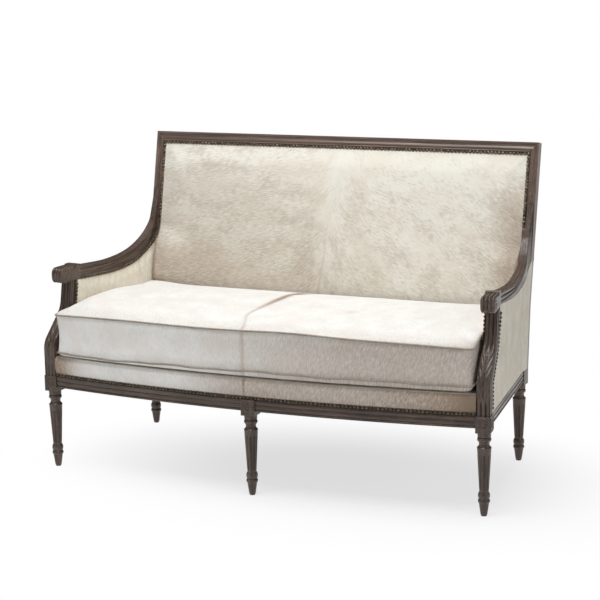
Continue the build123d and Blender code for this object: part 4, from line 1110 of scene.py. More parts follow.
def block_carving(size, depth):
    """Height over a square block face: a beaded border and a rosette inside it."""
    side = np.linspace(-1, 1, 49)
    x, y = np.meshgrid(side, side)
    edge = np.maximum(np.abs(x), np.abs(y))
    border = 0.55 * depth * hump(edge, 0.86, 0.07)
    height = border + rosette_height(x / 0.74, y / 0.74, depth)
    height = height * (edge < 0.999)
    return x * size / 2, y * size / 2, height


class SETTEE_OT_rosettes(Operator):
    """Carve the rosettes on the leg blocks and on the cheeks of the handholds"""

    bl_idname = "settee.rosettes"
    bl_label = "Rosettes"

    def execute(self, context):
        depth = context.scene.settee_sizes.carving_depth
        wood = shared_material("Show-wood, along Z")
        across, up, height = block_carving(BLOCK - 0.001, depth)
        up = BLOCK_MIDDLE + up
        front = side_point(-BLOCK / 2 - height + CARVING_SUNK, across, up)
        outer = side_point(across, BLOCK / 2 + height - CARVING_SUNK, up)
        centre = np.stack((across, LEG.y - BOW_DEPTH - BLOCK / 2 - height + CARVING_SUNK, up), -1)
        faces = [front, outer, mirrored(front), mirrored(outer), centre]

        radius = np.linspace(0, 1, 20)[:, None]
        angle = np.linspace(0, 2 * pi, 64, endpoint=False)[None]
        x, y = radius * np.cos(angle), radius * np.sin(angle)
        relief = rosette_height(x, y, depth) + 0.3 * depth * hump(radius, 0.93, 0.06)
        reach = 0.4 * HOLD_HEIGHT
        hub_run, hub_height = HOLD_NOSE + HOLD_HEIGHT / 2, HOLD_UNDER + HOLD_HEIGHT / 2
        cheeks = []
        for facing in (-1, 1):
            out = facing * (ARM_WIDTH / 2 + relief - 2 * CARVING_SUNK)
            disc = side_point(hub_run + reach * x, out, hub_height + reach * y)
            cheeks += [disc, mirrored(disc)]
        grids = [(face, False) for face in faces] + [(disc, True) for disc in cheeks]
        made = mesh_from_grids("rosettes", grids)
        dress(made, "frame", "show_wood", wood, [], 60)
        return {"FINISHED"}


def hair_lay(across, up, slant):
    """Hair that runs down and outwards from a middle: distance along it and across it.

    The slope of the hair falls from steep at the middle to a resting slant away from it. The two
    sides take their strands from different places.
    """
    away = np.abs(across)
    fall = slant * away + 0.06 * (1 - np.exp(-away / 0.035))
    return away * 0.8 - up * 0.45, up + fall + 3.0 * (across > 0)


def painted_nail_shade(edge):
    """Painted shade under and between the nails, added as brownness of the hide, from its distance to the
    edge of the wood.
    """
    return NAIL_SHADE_DARKNESS * (1 - smooth(edge, NAIL_SHADE_REACH - NAIL_SHADE_FADE, NAIL_SHADE_REACH))


def back_brown(x, rise, seam, low, high):
    """How brown the inside back's hair is, from x and the distance up the rake between low and high.

    Brown lies in a patch at the right and one left of the seam, along the seam's lower half, over the
    left half, down the right edge and along the foot. The right half, the top and the hair beside the
    upper seam are paler.
    """
    foot = 1 - smooth(rise, low + 0.12, low + 0.36)
    brown = 0.50 * hump(x, 0.56, 0.07) * hump(rise, low + 0.30, 0.16)
    brown += 0.30 * hump(x, -0.08, 0.05) * hump(rise, low + 0.20, 0.16)
    brown += 0.25 * hump(x, seam, 0.003) * (1 - 0.8 * smooth(rise, low + 0.20, low + 0.40))
    brown += 0.26 * (1 - smooth(x, -0.30, 0.05)) - 0.20 * smooth(x, 0.06, 0.30)
    brown += 0.50 * smooth(x, 0.48, 0.60) * (1 - smooth(rise, high - 0.14, high - 0.03))
    brown += foot * (0.22 + 0.24 * (1 - smooth(x, -0.56, -0.20)))
    brown -= 0.35 * smooth(rise, high - 0.17, high - 0.02) + 0.28 * hump(x, seam, 0.035) * (1 - foot)
    return np.clip(brown, -0.6, 1)


class SETTEE_OT_inside_back(Operator):
    """Cover the tight inside back in two hides joined at the middle by a leaning seam"""

    bl_idname = "settee.inside_back"
    bl_label = "Inside back"

    def execute(self, context):
        sizes = context.scene.settee_sizes
        half = BACK_HIGH.x
        low = rise_at(BACK_PAD_FOOT)
        high = CREST_UNDER - CREST_BEAD - 0.0003
        x, rise = np.meshgrid(np.linspace(-half, half, 241), np.linspace(low, high, 121))
        centre = (low + high) / 2
        reach = (high - low) / 2
        edge = np.minimum(half - np.abs(x), reach - np.abs(rise - centre))
        roll = smooth(edge, 0.004, 0.075)
        seam = BACK_SEAM_X + BACK_SEAM_LEAN * (rise - BACK_SEAM_RISE)
        crown = (1 - np.abs(x / half) ** 2.6) * (1 - np.abs((rise - centre) / reach) ** 2.4)
        proud = -0.001 + (BACK_EDGE_PROUD + 0.004 * smooth(rise, centre, high)) * roll
        proud += (sizes.back_swell - BACK_EDGE_PROUD) * crown - 0.0010 * hump(x, seam, 0.006) * roll
        height = RAKE_START + rise * cos(RAKE)
        below_arm = 1 - smooth(height, 0.575, 0.655)
        corner = smooth(np.abs(x), 0.48, 0.575) * smooth(height, 0.42, 0.50) * below_arm
        proud += BACK_BULGE * corner
        face_x = x * (1 - 0.011 * below_arm)
        face = back_point(face_x, rise, proud)
        back = back_point(face_x, rise, -COVER_DEPTH)
        along, across = hair_lay(x - seam, rise, np.where(x > seam, 0.45, 0.22))
        # Painted shade under the nails, kept faint below the arms as painted shade in the corner
        brown = back_brown(x, rise, seam, low, high) + painted_nail_shade(edge) * (1 - 0.8 * below_arm)
        hair = np.stack((along, across, brown), -1)
        made = mesh_from_grids("inside_back", padded_grids(face, back), padded_hair(hair))
        dress(made, "frame", "hair_hide", shared_material("Hide, back"), ["inside_back_pad"], 60)
        return {"FINISHED"}


class SETTEE_OT_crest_bead(Operator):
    """Run the rounded bead along the crest's lower edge"""

    bl_idname = "settee.crest_bead"
    bl_label = "Crest bead"

    def execute(self, context):
        turn = np.linspace(0, pi, 13)
        round_rise = CREST_UNDER - 0.0002 - CREST_BEAD * (1 + np.cos(turn)) / 2
        rise = np.concatenate((round_rise, round_rise[[-1, 0]]))
        proud = np.concatenate((0.0010 + 0.0030 * np.sin(turn), (-COVER_DEPTH, -COVER_DEPTH)))
        x = np.linspace(-BACK_HIGH.x, BACK_HIGH.x, 61)
        bead = back_point(x[:, None], rise[None], proud[None])
        made = mesh_from_grids("crest_bead", [(capped(bead), True)])
        # The bead takes the lighter copy of the show-wood, painted light
        dress(made, "frame", "show_wood", shared_material("Show-wood, back, along X"), [], 50)
        return {"FINISHED"}


def height_over(line, run):
    """Height of a smooth line in side view above each run."""
    path = smooth_path(line, 200)
    return np.interp(run, path[:, 0], path[:, 1])


def post_rear_run(height):
    """Run of the post's rear line at a height."""
    path = rounded_path(POST_REAR, POST_REAR_RADII, 200)
    return np.interp(height, path[:, 1], path[:, 0])


def inside_front_run(height):
    """Run of the inside arm's front edge: the post's rear line, lapped over the post above its knee."""
    return post_rear_run(height) - INSIDE_LAP * smooth(height, 0.45, 0.49)


def inside_rear_run(height):
    """Run of the inside arm's rear edge: just short of the stile's face."""
    return stile_run(height) - 0.003


def arm_opening(top_line, front_run, rear_run, bottom, gap, columns, rows):
    """Runs and heights over the arm's opening, with the shares from front to rear.

    Rows go from the bottom to a top line, columns from a front run to a rear run. Runs and heights
    depend on each other, so they are settled in a few rounds.
    """
    share, up = np.meshgrid(np.linspace(0, 1, columns), np.linspace(0, 1, rows))
    height = bottom + up * (ARM_UNDER - gap - bottom)
    for _ in range(4):
        front = front_run(height) + gap
        run = front + share * (rear_run(height) - front)
        height = bottom + up * (height_over(top_line, run) - gap - bottom)
    return run, height, share


def stile_rear_run(height):
    """Run of the rear edge of the back post: upright from its block, then raked."""
    face_y = BACK_FACE_Y + (np.maximum(height, RAKE_BEND) - RAKE_START) * tan(RAKE)
    raked = face_y + STILE_DEPTH / cos(RAKE)
    block_rear = REAR_LEG.y + BLOCK / 2
    below = np.clip((height - RAIL_TOP) / (RAKE_BEND - RAIL_TOP), 0, 1)
    rear_y = np.where(height > RAKE_BEND, raked, block_rear + below * (raked - block_rear))
    return (rear_y - LEG.y) / cos(SIDE_ANGLE) - BLOCK / 2 * tan(SIDE_ANGLE)


def outside_rear_run(height):
    """Run of the outside arm's rear edge: short of the back post's own, more so at the top."""
    return stile_rear_run(height) - OUTSIDE_SHORT - 0.010 * smooth(height, 0.575, 0.615)


def inside_arm_face(run, height):
    """Points of the inside arm's hide, and how far each lies from the edge of the wood.

    The hide is flat under its nails and swells away from them, with pleats a wave of the run below
    the arm.
    """
    below_top = height_over(PAD_TOP_LINE, run) - height
    edge = np.minimum(below_top, run - inside_front_run(height))
    pleats = 0.0019 * np.sin(2 * pi * run / 0.034) * hump(below_top, 0.026, 0.016)
    swell = 0.0020 + 0.0052 * smooth(edge, 0.008, 0.040) + pleats * smooth(edge, 0.006, 0.02)
    return inner_point(run, arm_flare(run, height) - swell, height), edge


def outside_arm_out(run, height):
    """How far the outside arm's hide stands out: over the arm's lower edge and over the back post."""
    block_run = (REAR_LEG.y - BLOCK / 2 - LEG.y) / cos(SIDE_ANGLE)
    edge = np.maximum(stile_run(height), block_run)
    over_arm = 0.0034 + np.maximum(0, stile_out(run) - ARM_WIDTH / 2)
    panel = ARM_WIDTH / 2 - 0.002 + over_arm * smooth(height, 0.47, 0.535) + arm_flare(run, height)
    over_post = stile_out(run) + 0.0012 + 0.0010 * smooth(height, 0.55, 0.60)
    return panel + (over_post - panel) * smooth(run, edge - 0.020, edge - 0.002)


def inside_arm_cover():
    """Face, back and hair of the right inside arm, browner towards the back, with painted shade under the
    nails.
    """
    run, height, share = arm_opening(
        PAD_TOP_LINE, inside_front_run, inside_rear_run, ARM_PAD_FOOT, COVER_GAP, 111, 81
    )
    face, edge = inside_arm_face(run, height)
    back = inner_point(run, arm_flare(run, height) + COVER_DEPTH, height)
    brown = 0.10 * hump(share, 1.0, 0.2) + painted_nail_shade(edge)
    return face, back, np.stack((height - 0.25 * run, run, brown), -1)


def outside_arm_cover():
    """Face, back and hair of the right outside arm."""
    run, height, _ = arm_opening(
        OUTER_TOP_LINE, post_rear_run, outside_rear_run, RAIL_TOP + 0.0003, COVER_GAP, 111, 71
    )
    out = outside_arm_out(run, height)
    face = side_point(run, out, height)
    back = side_point(run, out - 0.003, height)
    return face, back, np.stack((height + 0.2 * run, run, np.zeros_like(run)), -1)


class SETTEE_OT_arm_covers(Operator):
    """Cover the arms inside and outside"""

    bl_idname = "settee.arm_covers"
    bl_label = "Arm covers"

    def execute(self, context):
        hide = shared_material("Hide, arms")
        covers = (
            ("inside_arm", "inside_arm_pad", inside_arm_cover()),
            ("outside_arm", "outside_arm_panel", outside_arm_cover()),
        )
        for side, turn in SIDES:
            for name, node, (face, back, hair) in covers:
                grids = padded_grids(turn(face), turn(back))
                made = mesh_from_grids(f"{name}_{side}", grids, padded_hair(hair))
                dress(made, "frame", "hair_hide", hide, [f"{node}_{side}"], 60)
        return {"FINISHED"}


def nail_places(path):
    """Runs and heights a nail pitch apart along a line in side view."""
    return stepped(path, np.arange(NAIL_PITCH / 2, lengths_along(path)[-1], NAIL_PITCH)).T


def nail_grids(seats, facing):
    """Domed nail heads on their seats: rings of a shallow dome about each facing direction."""
    level = np.array((0.0, 0.5, 0.8, 1.0))
    radius = NAIL_RADIUS * np.sqrt(1 - level**2)[:, None]
    turn = np.linspace(0, 2 * pi, 8, endpoint=False)
    facing = np.broadcast_to(facing, seats.shape)
    across = np.cross(facing, (0.0, 0.0, 1.0))
    across = (across / np.linalg.norm(across, axis=1)[:, None])[:, None, None]
    facing = facing[:, None, None]
    above = np.cross(across, facing)
    flat = (radius * np.cos(turn))[..., None] * across + (radius * np.sin(turn))[..., None] * above
    dome = seats[:, None, None] + flat + (NAIL_HEIGHT * level)[:, None, None] * facing
    return [(head, True) for head in dome]


def back_nail_grids():
    """Nails along the crest's bead and down both stiles, to where the arms cover them."""
    side_x = STILE_INNER_X - NAIL_EDGE
    top = CREST_UNDER - CREST_BEAD - NAIL_EDGE
    x = np.linspace(-side_x, side_x, 1 + round(2 * side_x / NAIL_PITCH))
    rise = np.arange(top - NAIL_PITCH, rise_at(BACK_NAILS_FOOT), -NAIL_PITCH)
    rows = ((x, top), (side_x, rise), (-side_x, rise))
    seats = np.concatenate([back_point(*row, -NAIL_SUNK) for row in rows])
    return nail_grids(seats, np.array((0.0, -cos(RAKE), sin(RAKE))))


def rail_nail_grids():
    """Nails along the foot of the bowed border."""
    reach = BORDER_HIGH.x - 0.008
    x = np.linspace(-reach, reach, 1 + round(2 * reach / NAIL_PITCH))
    y = bow_y(x, BORDER_AHEAD)
    seats = np.column_stack((x, y, np.full_like(x, BORDER_LOW.z + NAIL_EDGE)))
    facing = np.column_stack((x, y - BOW_CENTRE_Y, np.zeros_like(x))) / (BOW_RADIUS + BORDER_AHEAD)
    return nail_grids(seats, facing)


def arm_nail_grids():
    """Nails of the right arm: inside under the arm and down the post, outside down the post."""
    under_arm = smooth_path(PAD_TOP_LINE, 300) + np.array((0.001, -NAIL_EDGE + 0.001))
    run, height = under_arm.T
    under_arm = under_arm[(run < stile_run(height) - 0.004) & (run > 0.125)]
    post = rounded_path(POST_REAR, POST_REAR_RADII, 200) + np.array((NAIL_EDGE, 0.0))
    height = post[:, 1]
    outer_line = post[(height > 0.292) & (height < ARM_UNDER + 0.004)]
    height = height[(height > 0.36) & (height < ARM_UNDER + 0.006)]
    inner_line = np.column_stack((inside_front_run(height) + NAIL_EDGE, height))
    inner_seats, _ = inside_arm_face(*np.hstack((nail_places(under_arm), nail_places(inner_line))))
    run, height = nail_places(outer_line)
    outer_seats = side_point(run, outside_arm_out(run, height), height)
    inward = np.array((-cos(INNER_ANGLE), -sin(INNER_ANGLE), 0.0))
    outward = np.array((cos(SIDE_ANGLE), sin(SIDE_ANGLE), 0.0))
    return nail_grids(inner_seats, inward) + nail_grids(outer_seats, outward)


class SETTEE_OT_nails(Operator):
    """Drive the close nailing round the back, arms, posts and front rail"""

    bl_idname = "settee.nails"
    bl_label = "Nails"

    def execute(self, context):
        bronze = shared_material("Bronze")
        made = mesh_from_grids("nails_back", back_nail_grids())
        # The back's nails take the lighter bronze, painted glints
        dress(made, "frame", "bronze_nail", shared_material("Bronze, back"), ["back_nails"], 80)
        made = mesh_from_grids("nails_front_rail", rail_nail_grids())
        dress(made, "frame", "bronze_nail", bronze, ["front_rail_nails"], 80)
        grids = arm_nail_grids()
        for side, turn in SIDES:
            made = mesh_from_grids(f"nails_arm_{side}", [(turn(dome), shut) for dome, shut in grids])
            dress(made, "frame", "bronze_nail", bronze, [f"arm_nails_{side}"], 80)
        return {"FINISHED"}


def outside_back_line(depth, foot_y):
    """Side view of the outside back at a depth: up from the rail, then round a bend and up the rake."""
    rise = np.array((rise_at(RAKE_BEND), rise_at(HEIGHT) - OUTSIDE_BACK_TOP))
    bend, top = back_point(0.0, rise, -depth)[:, 1:]
    return rounded_path(((foot_y, RAIL_TOP), bend, top), (OUTSIDE_BACK_BEND,), 121)


class SETTEE_OT_outside_back(Operator):
    """Cover the outside back"""

    bl_idname = "settee.outside_back"
    bl_label = "Outside back"

    def execute(self, context):
        low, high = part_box("outside_back_panel")
        foot_y = REAR_LEG.y + BLOCK / 2 - 0.0015
        line = outside_back_line(OUTSIDE_BACK_FACE, foot_y)
        inner = outside_back_line(OUTSIDE_BACK_LINING, foot_y - COVER_DEPTH)
        x = np.linspace(low.x, high.x, 161)
        share = np.linspace(-1, 1, 121)[:, None]
        bow = 0.0012 * (1 - np.abs(x / high.x)[None] ** 4) * (1 - np.abs(share) ** 4)
        face = np.stack(np.broadcast_arrays(x[None], line[:, :1] + bow, line[:, 1:]), -1)
        back = np.stack(np.broadcast_arrays(x[None], inner[:, :1], inner[:, 1:]), -1)
        along, across = hair_lay(face[..., 0], face[..., 2], 0.30)
        hair = np.stack((along, across, 0.3 * hump(face[..., 0], 0.0, 0.003)), -1)
        made = mesh_from_grids("outside_back", padded_grids(face, back), padded_hair(hair))
        dress(made, "frame", "hair_hide", shared_material("Hide, back"), ["outside_back_panel"], 60)
        return {"FINISHED"}


class SETTEE_OT_border(Operator):
    """Cover the bowed front border above the rail"""

    bl_idname = "settee.border"
    bl_label = "Front border"

    def execute(self, context):
        low, high = BORDER_LOW.z, BORDER_HIGH.z
        share, height = np.meshgrid(np.linspace(-1, 1, 301), np.linspace(low, high - 0.004, 31))
        half = BORDER_HIGH.x - 0.0004
        x = share * half
        rise = np.clip((height - low - NAIL_MARGIN) / (high - low - NAIL_MARGIN), 0, 1)
        swell = 0.004 * np.sin(pi * rise) ** 0.7 - 0.007 * smooth(rise, 0.72, 1.0)
        swell -= 0.0012 * hump(x, SEAT_SEAM_X, 0.005) * smooth(rise, 0.0, 0.3)
        face = np.stack((x, bow_y(x, BORDER_AHEAD + swell), height), -1)
        back = np.stack((x, bow_y(x, BORDER_AHEAD - 0.003), height), -1)
        away = np.abs(x - SEAT_SEAM_X)
        # Browner towards the right, partly the hide's tan and partly painted shade; tan ends; a brown
        # seam; painted shade under the nails at the foot
        brown = 0.80 * smooth(x, -0.30, 0.04) + 0.20 * smooth(x, 0.30, 0.50)
        brown += 0.55 * smooth(x, 0.51, 0.66) + 1.3 * smooth(-x, 0.54, 0.66)
        brown += 0.5 * hump(x, SEAT_SEAM_X, 0.004) + painted_nail_shade(height - low)
        hair = np.stack((height + 0.35 * away, away - 0.35 * height, brown), -1)
        made = mesh_from_grids("border", padded_grids(face, back), padded_hair(hair))
        dress(made, "frame", "hair_hide", shared_material("Hide, seat"), ["front_border"], 60)
        return {"FINISHED"}


def seat_front_run(origin):
    """Run at which a line along the arm's inner face, from an origin, crosses the cushion's front."""
    run = np.linspace(-0.2, 0.2, 200)
    line = plan_point(origin, INNER_ANGLE, run, 0.0, 0.0)
    return np.interp(0.0, line[:, 1] - bow_y(line[:, 0], SEAT_OVERHANG), run)


def seat_plan(rounding):
    """Closed plan of the cushion, at equal steps of its length.

    The front is the bow, the sides draw in as arcs towards their middles, and the corners are
    rounded by a low-pass filter on the closed line.
    """
    side = np.linspace(0, 1, 100)[:-1]
    origin = plan_point(INNER_ORIGIN, INNER_ANGLE, 0.0, -SEAT_SIDE_GAP, 0.0)
    start = seat_front_run(origin)
    end = (SEAT_HIGH.y - origin[1]) / cos(INNER_ANGLE)
    draw = -SEAT_SIDE_DRAW * (1 - (2 * side - 1) ** 2)
    right = plan_point(origin, INNER_ANGLE, start + side * (end - start), draw, 0.0)[:, :2]
    x = np.linspace(-right[0, 0], right[0, 0], 200)[:-1]
    front = np.column_stack((x, bow_y(x, SEAT_OVERHANG)))
    rear_x = plan_point(origin, INNER_ANGLE, end, 0.0, 0.0)[0]
    rear = np.column_stack((np.linspace(rear_x, -rear_x, 200), np.full(200, SEAT_HIGH.y)))[:-1]
    left = (right * np.array((-1, 1)))[::-1]
    line = np.concatenate((front, right, rear, left, front[:1]))
    length = lengths_along(line)[-1]
    points = stepped(line, np.linspace(0, length, SEAT_COLUMNS, endpoint=False))
    wave = np.fft.fft(points[:, 0] + 1j * points[:, 1])
    blur = np.fft.fftfreq(SEAT_COLUMNS) * SEAT_COLUMNS * rounding * 2 * pi / length
    wave = np.fft.ifft(wave * np.exp(-(blur**2) / 2))
    return np.column_stack((wave.real, wave.imag))


def piping_heights(plan, sizes):
    """Heights of the lower and upper piping over a plan.

    The lower one waves a little and falls towards the left front corner. The upper one falls towards
    the front corners and the back, and has a low hump right of the middle.
    """
    x, y = plan.T
    front = 1 - smooth(y, -0.30, -0.20)
    corner = (1 - smooth(y, -0.33, -0.16)) * (np.abs(x) / 0.62) ** 2.4
    low = SEAT_LOW.z + PIPING_LOW + 0.0014 * np.sin(19 * x + 0.6) + 0.0009 * np.sin(47 * x)
    low = low - 0.010 * smooth(-x, -0.05, 0.60) * front
    high = SEAT_LOW.z + PIPING_HIGH + 0.0035 + 0.005 * hump(x, 0.12, 0.14) * front
    high = high - sizes.corner_drop * corner - 0.014 * smooth(y, -0.08, 0.18)
    high = high - 0.004 * smooth(x, -0.50, -0.10) * front
    return low, high


def seat_grid(sizes, crown):
    """Closed skin of the cushion: base, drawn-in boxing and crowned top, as rings of its plan.

    Rings of the base and top shrink towards a straight ridge along the middle.
    """
    low_plan, plan = (seat_plan(rounding) for rounding in SEAT_ROUNDING)
    low, high = piping_heights(plan, sizes)
    middle_y = (plan[:, 1].min() + plan[:, 1].max()) / 2
    ridge_x = np.clip(plan[:, 0], -SEAT_RIDGE, SEAT_RIDGE)
    ridge = np.column_stack((ridge_x, np.full(SEAT_COLUMNS, middle_y)))
    outward = plan - ridge
    reach = np.linalg.norm(outward, axis=1)[:, None]
    outward = outward / reach
    sideways = smooth(np.abs(outward[:, 0]), 0.25, 0.70)
    left = 1 - smooth(plan[:, 0], 0.2, 0.5)
    roll = 0.034 - (0.008 + 0.013 * left) * sideways
    crown = crown + 0.007 * hump(plan[:, 1], -0.08, 0.17) * sideways * left
    base = SEAT_LOW.z
    rings = []
    for share in np.linspace(0, 1, 12):
        flat = ridge + outward * share * (reach - SEAT_BASE_ROUND)
        rings.append(np.column_stack((flat, np.full(SEAT_COLUMNS, base))))
    for share in np.linspace(0.25, 1, 4):
        turn = share * pi / 2
        flat = low_plan - outward * SEAT_BASE_ROUND * (1 - np.sin(turn))
        rings.append(np.column_stack((flat, base + (low - base) * (1 - np.cos(turn)))))
    for share in np.linspace(0, 1, 17)[1:]:
        flat = low_plan + share * (plan - low_plan) - outward * SEAT_BOXING_DRAW * np.sin(pi * share)
        rings.append(np.column_stack((flat, low + (high - low) * share)))
    for share in 1 - np.linspace(0, 1, 31)[1:] ** 2:
        flat = ridge + outward * share * reach
        rise = crown * (1 - np.exp(-(1 - share) * reach[:, 0] / roll))
        rings.append(np.column_stack((flat, high.mean() + (high - high.mean()) * share**2 + rise)))
    return np.stack(rings), plan, low, high


def plan_nearest(points, plan):
    """Number of the plan's point nearest to each point seen from above, in batches of points."""
    nearest = []
    for batch in np.array_split(points, 1 + len(points) // 4000):
        apart = batch[:, None] - plan
        nearest.append(np.sum(apart**2, -1).argmin(1))
    return np.concatenate(nearest)


# Simulation of the cushion: mesh size and frames, and the share of the crown that it starts from
SWELL_MESH = 0.0065
SWELL_FRAMES = 20
SWELL_START = 0.85

# What it holds: points this near to the plan and the piping, or to the base
SEWN_ASIDE = 0.012
SEWN_ABOVE = 0.006
BASE_HELD = 0.004

# How far the boxing, which reaches this far in, and the top may move
BOXING_REACH = 0.02
BOXING_SWELL = 0.004
TOP_SWELL = 0.022


def swell_seat(made, sizes, plan, low, high):
    """Swell the cushion with Blender's cloth: the piping lines and the base are held, the rest fills."""
    context = bpy.context
    context.view_layer.objects.active = made
    made.data.remesh_voxel_size = SWELL_MESH
    bpy.ops.object.voxel_remesh()
    start = mesh_points(made.data)
    near = plan_nearest(start[:, :2], plan)
    edge = np.linalg.norm(start[:, :2] - plan[near], axis=1)
    off_piping = np.minimum(np.abs(start[:, 2] - low[near]), np.abs(start[:, 2] - high[near]))
    sewn = (edge < SEWN_ASIDE) & (off_piping < SEWN_ABOVE)
    held = sewn | (start[:, 2] < SEAT_LOW.z + BASE_HELD)
    made.vertex_groups.new(name="sewn").add(np.flatnonzero(held).tolist(), 1.0, "REPLACE")
    cloth = made.modifiers.new("filling", "CLOTH")
    settings = cloth.settings
    settings.quality = 4
    settings.mass = 0.3
    settings.tension_stiffness = 18
    settings.compression_stiffness = 18
    settings.shear_stiffness = 8
    settings.bending_stiffness = 0.6
    settings.use_pressure = True
    settings.uniform_pressure_force = sizes.swell_pressure
    settings.vertex_group_mass = "sewn"
    settings.effector_weights.gravity = 0
    cloth.collision_settings.use_collision = False
    cloth.point_cache.frame_start = 1
    cloth.point_cache.frame_end = SWELL_FRAMES
    for number in range(1, SWELL_FRAMES + 1):
        context.scene.frame_set(number)
    swollen = mesh_points(made.evaluated_get(context.evaluated_depsgraph_get()).to_mesh())
    made.modifiers.remove(cloth)
    context.scene.frame_set(1)
    shift = swollen - start
    limit = np.where(edge < BOXING_REACH, BOXING_SWELL, TOP_SWELL)
    size = np.linalg.norm(shift, axis=1)
    shift *= np.minimum(1, limit / np.maximum(size, 1e-9))[:, None]
    made.data.vertices.foreach_set("co", (start + shift).astype(np.float32).ravel())
    made.data.update()


def seat_hair(points):
    """Hair vectors over the cushion: it runs forward over the top and down the boxing, away from a seam.

    The seam rises up the middle of the boxing, crosses the top and bends to the right at its back.
    """
    x, y, z = points.T
    seam = SEAT_SEAM_X - 0.042 * smooth(y, -0.38, -0.22) + 0.06 * smooth(y, 0.06, 0.17)
    away = x - seam
    over = y + z
    along = over + 0.30 * np.abs(away)
    across = np.abs(away) - 0.30 * over + 3.0 * (away > 0)
    brown = (0.6 + 0.9 * hump(y, 0.02, 0.14)) * hump(away, 0, 0.004 + 0.008 * smooth(y, -0.30, 0.0))
    brown += 1.1 * hump(x, -0.040, 0.022) * hump(y, 0.110, 0.025)
    brown += 0.35 * hump(x, 0.22, 0.012) * hump(y, -0.12, 0.02)
    boxing = smooth(SEAT_LOW.z + PIPING_HIGH - z, -0.002, 0.012)
    # Painted shade on the top along its front edge
    brown += 0.22 * (1 - smooth(y - bow_y(x, SEAT_OVERHANG), 0.010, 0.080)) * (1 - boxing)
    # Painted light and shade across the boxing: paler at the left, darker towards the right
    brown += (-0.12 + 0.83 * smooth(x, -0.45, 0.40)) * boxing
    return np.column_stack((along, across, brown))


class SETTEE_OT_seat_cushion(Operator):
    """Make the loose seat cushion and swell it with its filling"""

    bl_idname = "settee.seat_cushion"
    bl_label = "Seat cushion"

    def execute(self, context):
        sizes = context.scene.settee_sizes
        crown = SWELL_START * sizes.seat_crown
        rings, plan, low, high = seat_grid(sizes, crown)
        made = mesh_from_grids("seat_cushion", [(rings, True)])
        swell_seat(made, sizes, plan, low, high)
        lay_hair(made.data, seat_hair(mesh_points(made.data)))
        hide = shared_material("Hide, seat")
        dress(made, "cushion", "hair_hide", hide, ["cushion_cover", "cushion_core"], 75)
        return {"FINISHED"}


def piping_ring(plan, height, radius):
    """A roll of piping round the cushion: a circle carried along the plan at a height."""
    ahead = np.roll(plan, -1, 0) - np.roll(plan, 1, 0)
    ahead = ahead / np.linalg.norm(ahead, axis=1)[:, None]
    outward = np.column_stack((ahead[:, 1], -ahead[:, 0]))
    turn = np.linspace(0, 2 * pi, 10, endpoint=False)[:, None, None]
    flat = plan[None] + outward[None] * (0.0015 + radius * np.cos(turn))
    level = np.broadcast_to(height[None, :, None] + radius * np.sin(turn), (10, len(plan), 1))
    ring = np.concatenate((flat, level), -1)
    return np.concatenate((ring, ring[:1]))


class SETTEE_OT_piping(Operator):
    """Sew the two rows of piping round the cushion"""

    bl_idname = "settee.piping"
    bl_label = "Piping"

    def execute(self, context):
        plans = [seat_plan(rounding) for rounding in SEAT_ROUNDING]
        heights = piping_heights(plans[1], context.scene.settee_sizes)
        # The piping takes the darkened finish: partly its own brown, partly painted seam shade
        hide = shared_material("Hide, piping")
        for level, plan, height in zip(("bottom", "top"), plans, heights):
            ring = piping_ring(plan, height, PIPING_RADIUS)
            hair = seat_hair(ring.reshape(-1, 3)) * np.array((1.0, 1.0, 0.0))
            made = mesh_from_grids(f"piping_{level}", [(ring, True)], hair)
            dress(made, "cushion", "hair_hide", hide, [f"cushion_welt_{level}"], 75)
        return {"FINISHED"}


def seat_sheet(node, notched):
    """Plan of a flat sheet over a CAD node's box: a bowed front, splayed sides and a straight back.

    A notched sheet is cut back behind the leg blocks. Rows go from front to back.
    """
    low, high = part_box(node)
    share, depth = np.meshgrid(np.linspace(-1, 1, 281), np.linspace(0, 1, 61))
    ahead = BOW_CENTRE_Y - BOW_RADIUS - low.y
    x = share * (high.x - depth * (high.y - LEG.y) * tan(SIDE_ANGLE))
    front, back = bow_y(x, ahead), np.full_like(x, high.y)
    if notched:
        room = BLOCK / 2 + 0.0025
        front = np.where(np.abs(x) > LEG.x - room, LEG.y + room, front)
        front = np.where(np.abs(x) < room, LEG.y - BOW_DEPTH + room, front)
        back = np.where(np.abs(x) > REAR_LEG.x - room, REAR_LEG.y - room, back)
    return x, front + depth * (back - front), share, depth


# Sheets: node, piece, slot, finish, sag, how it is held and what it rests on
SHEETS = (
    ("spring_cover", "burlap_sheet", "burlap", "Burlap", 0.0, "laid", ["seat_springs"]),
    ("dust_cover", "dust_sheet", "dust_cloth", "Dust cloth", 0.002, "stretched", ["front_rail"]),
)


class SETTEE_OT_underside(Operator):
    """Lay the padded platform and the burlap under the cushion, and the dust cloth under the seat"""

    bl_idname = "settee.underside"
    bl_label = "Platform and cloths"

    def execute(self, context):
        low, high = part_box("deck_pad")
        x, y, share, depth = seat_sheet("deck_pad", False)
        edge = np.minimum(high.x * (1 - np.abs(share)), (high.y - low.y) * np.minimum(depth, 1 - depth))
        face = np.stack((x, y, high.z - 0.003 * (1 - smooth(edge, 0, 0.02))), -1)
        back = np.stack((x, y, np.full_like(x, low.z)), -1)
        made = mesh_from_grids("platform", padded_grids(face, back))
        dress(made, "frame", "lining_cloth", shared_material("Lining cloth"), ["deck_pad"], 60)

        for node, name, slot, finish, sag, held, rests_on in SHEETS:
            low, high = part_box(node)
            x, y, share, depth = seat_sheet(node, node == "dust_cover")
            hang = sag * (1 - share**4) * np.sin(pi * depth)
            face = np.stack((x, y, high.z - hang), -1)
            back = np.stack((x, y, low.z - hang), -1)
            made = mesh_from_grids(name, padded_grids(face, back))
            dress(made, "frame", slot, shared_material(finish), [node], 60)
            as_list(rests_on)
        return {"FINISHED"}


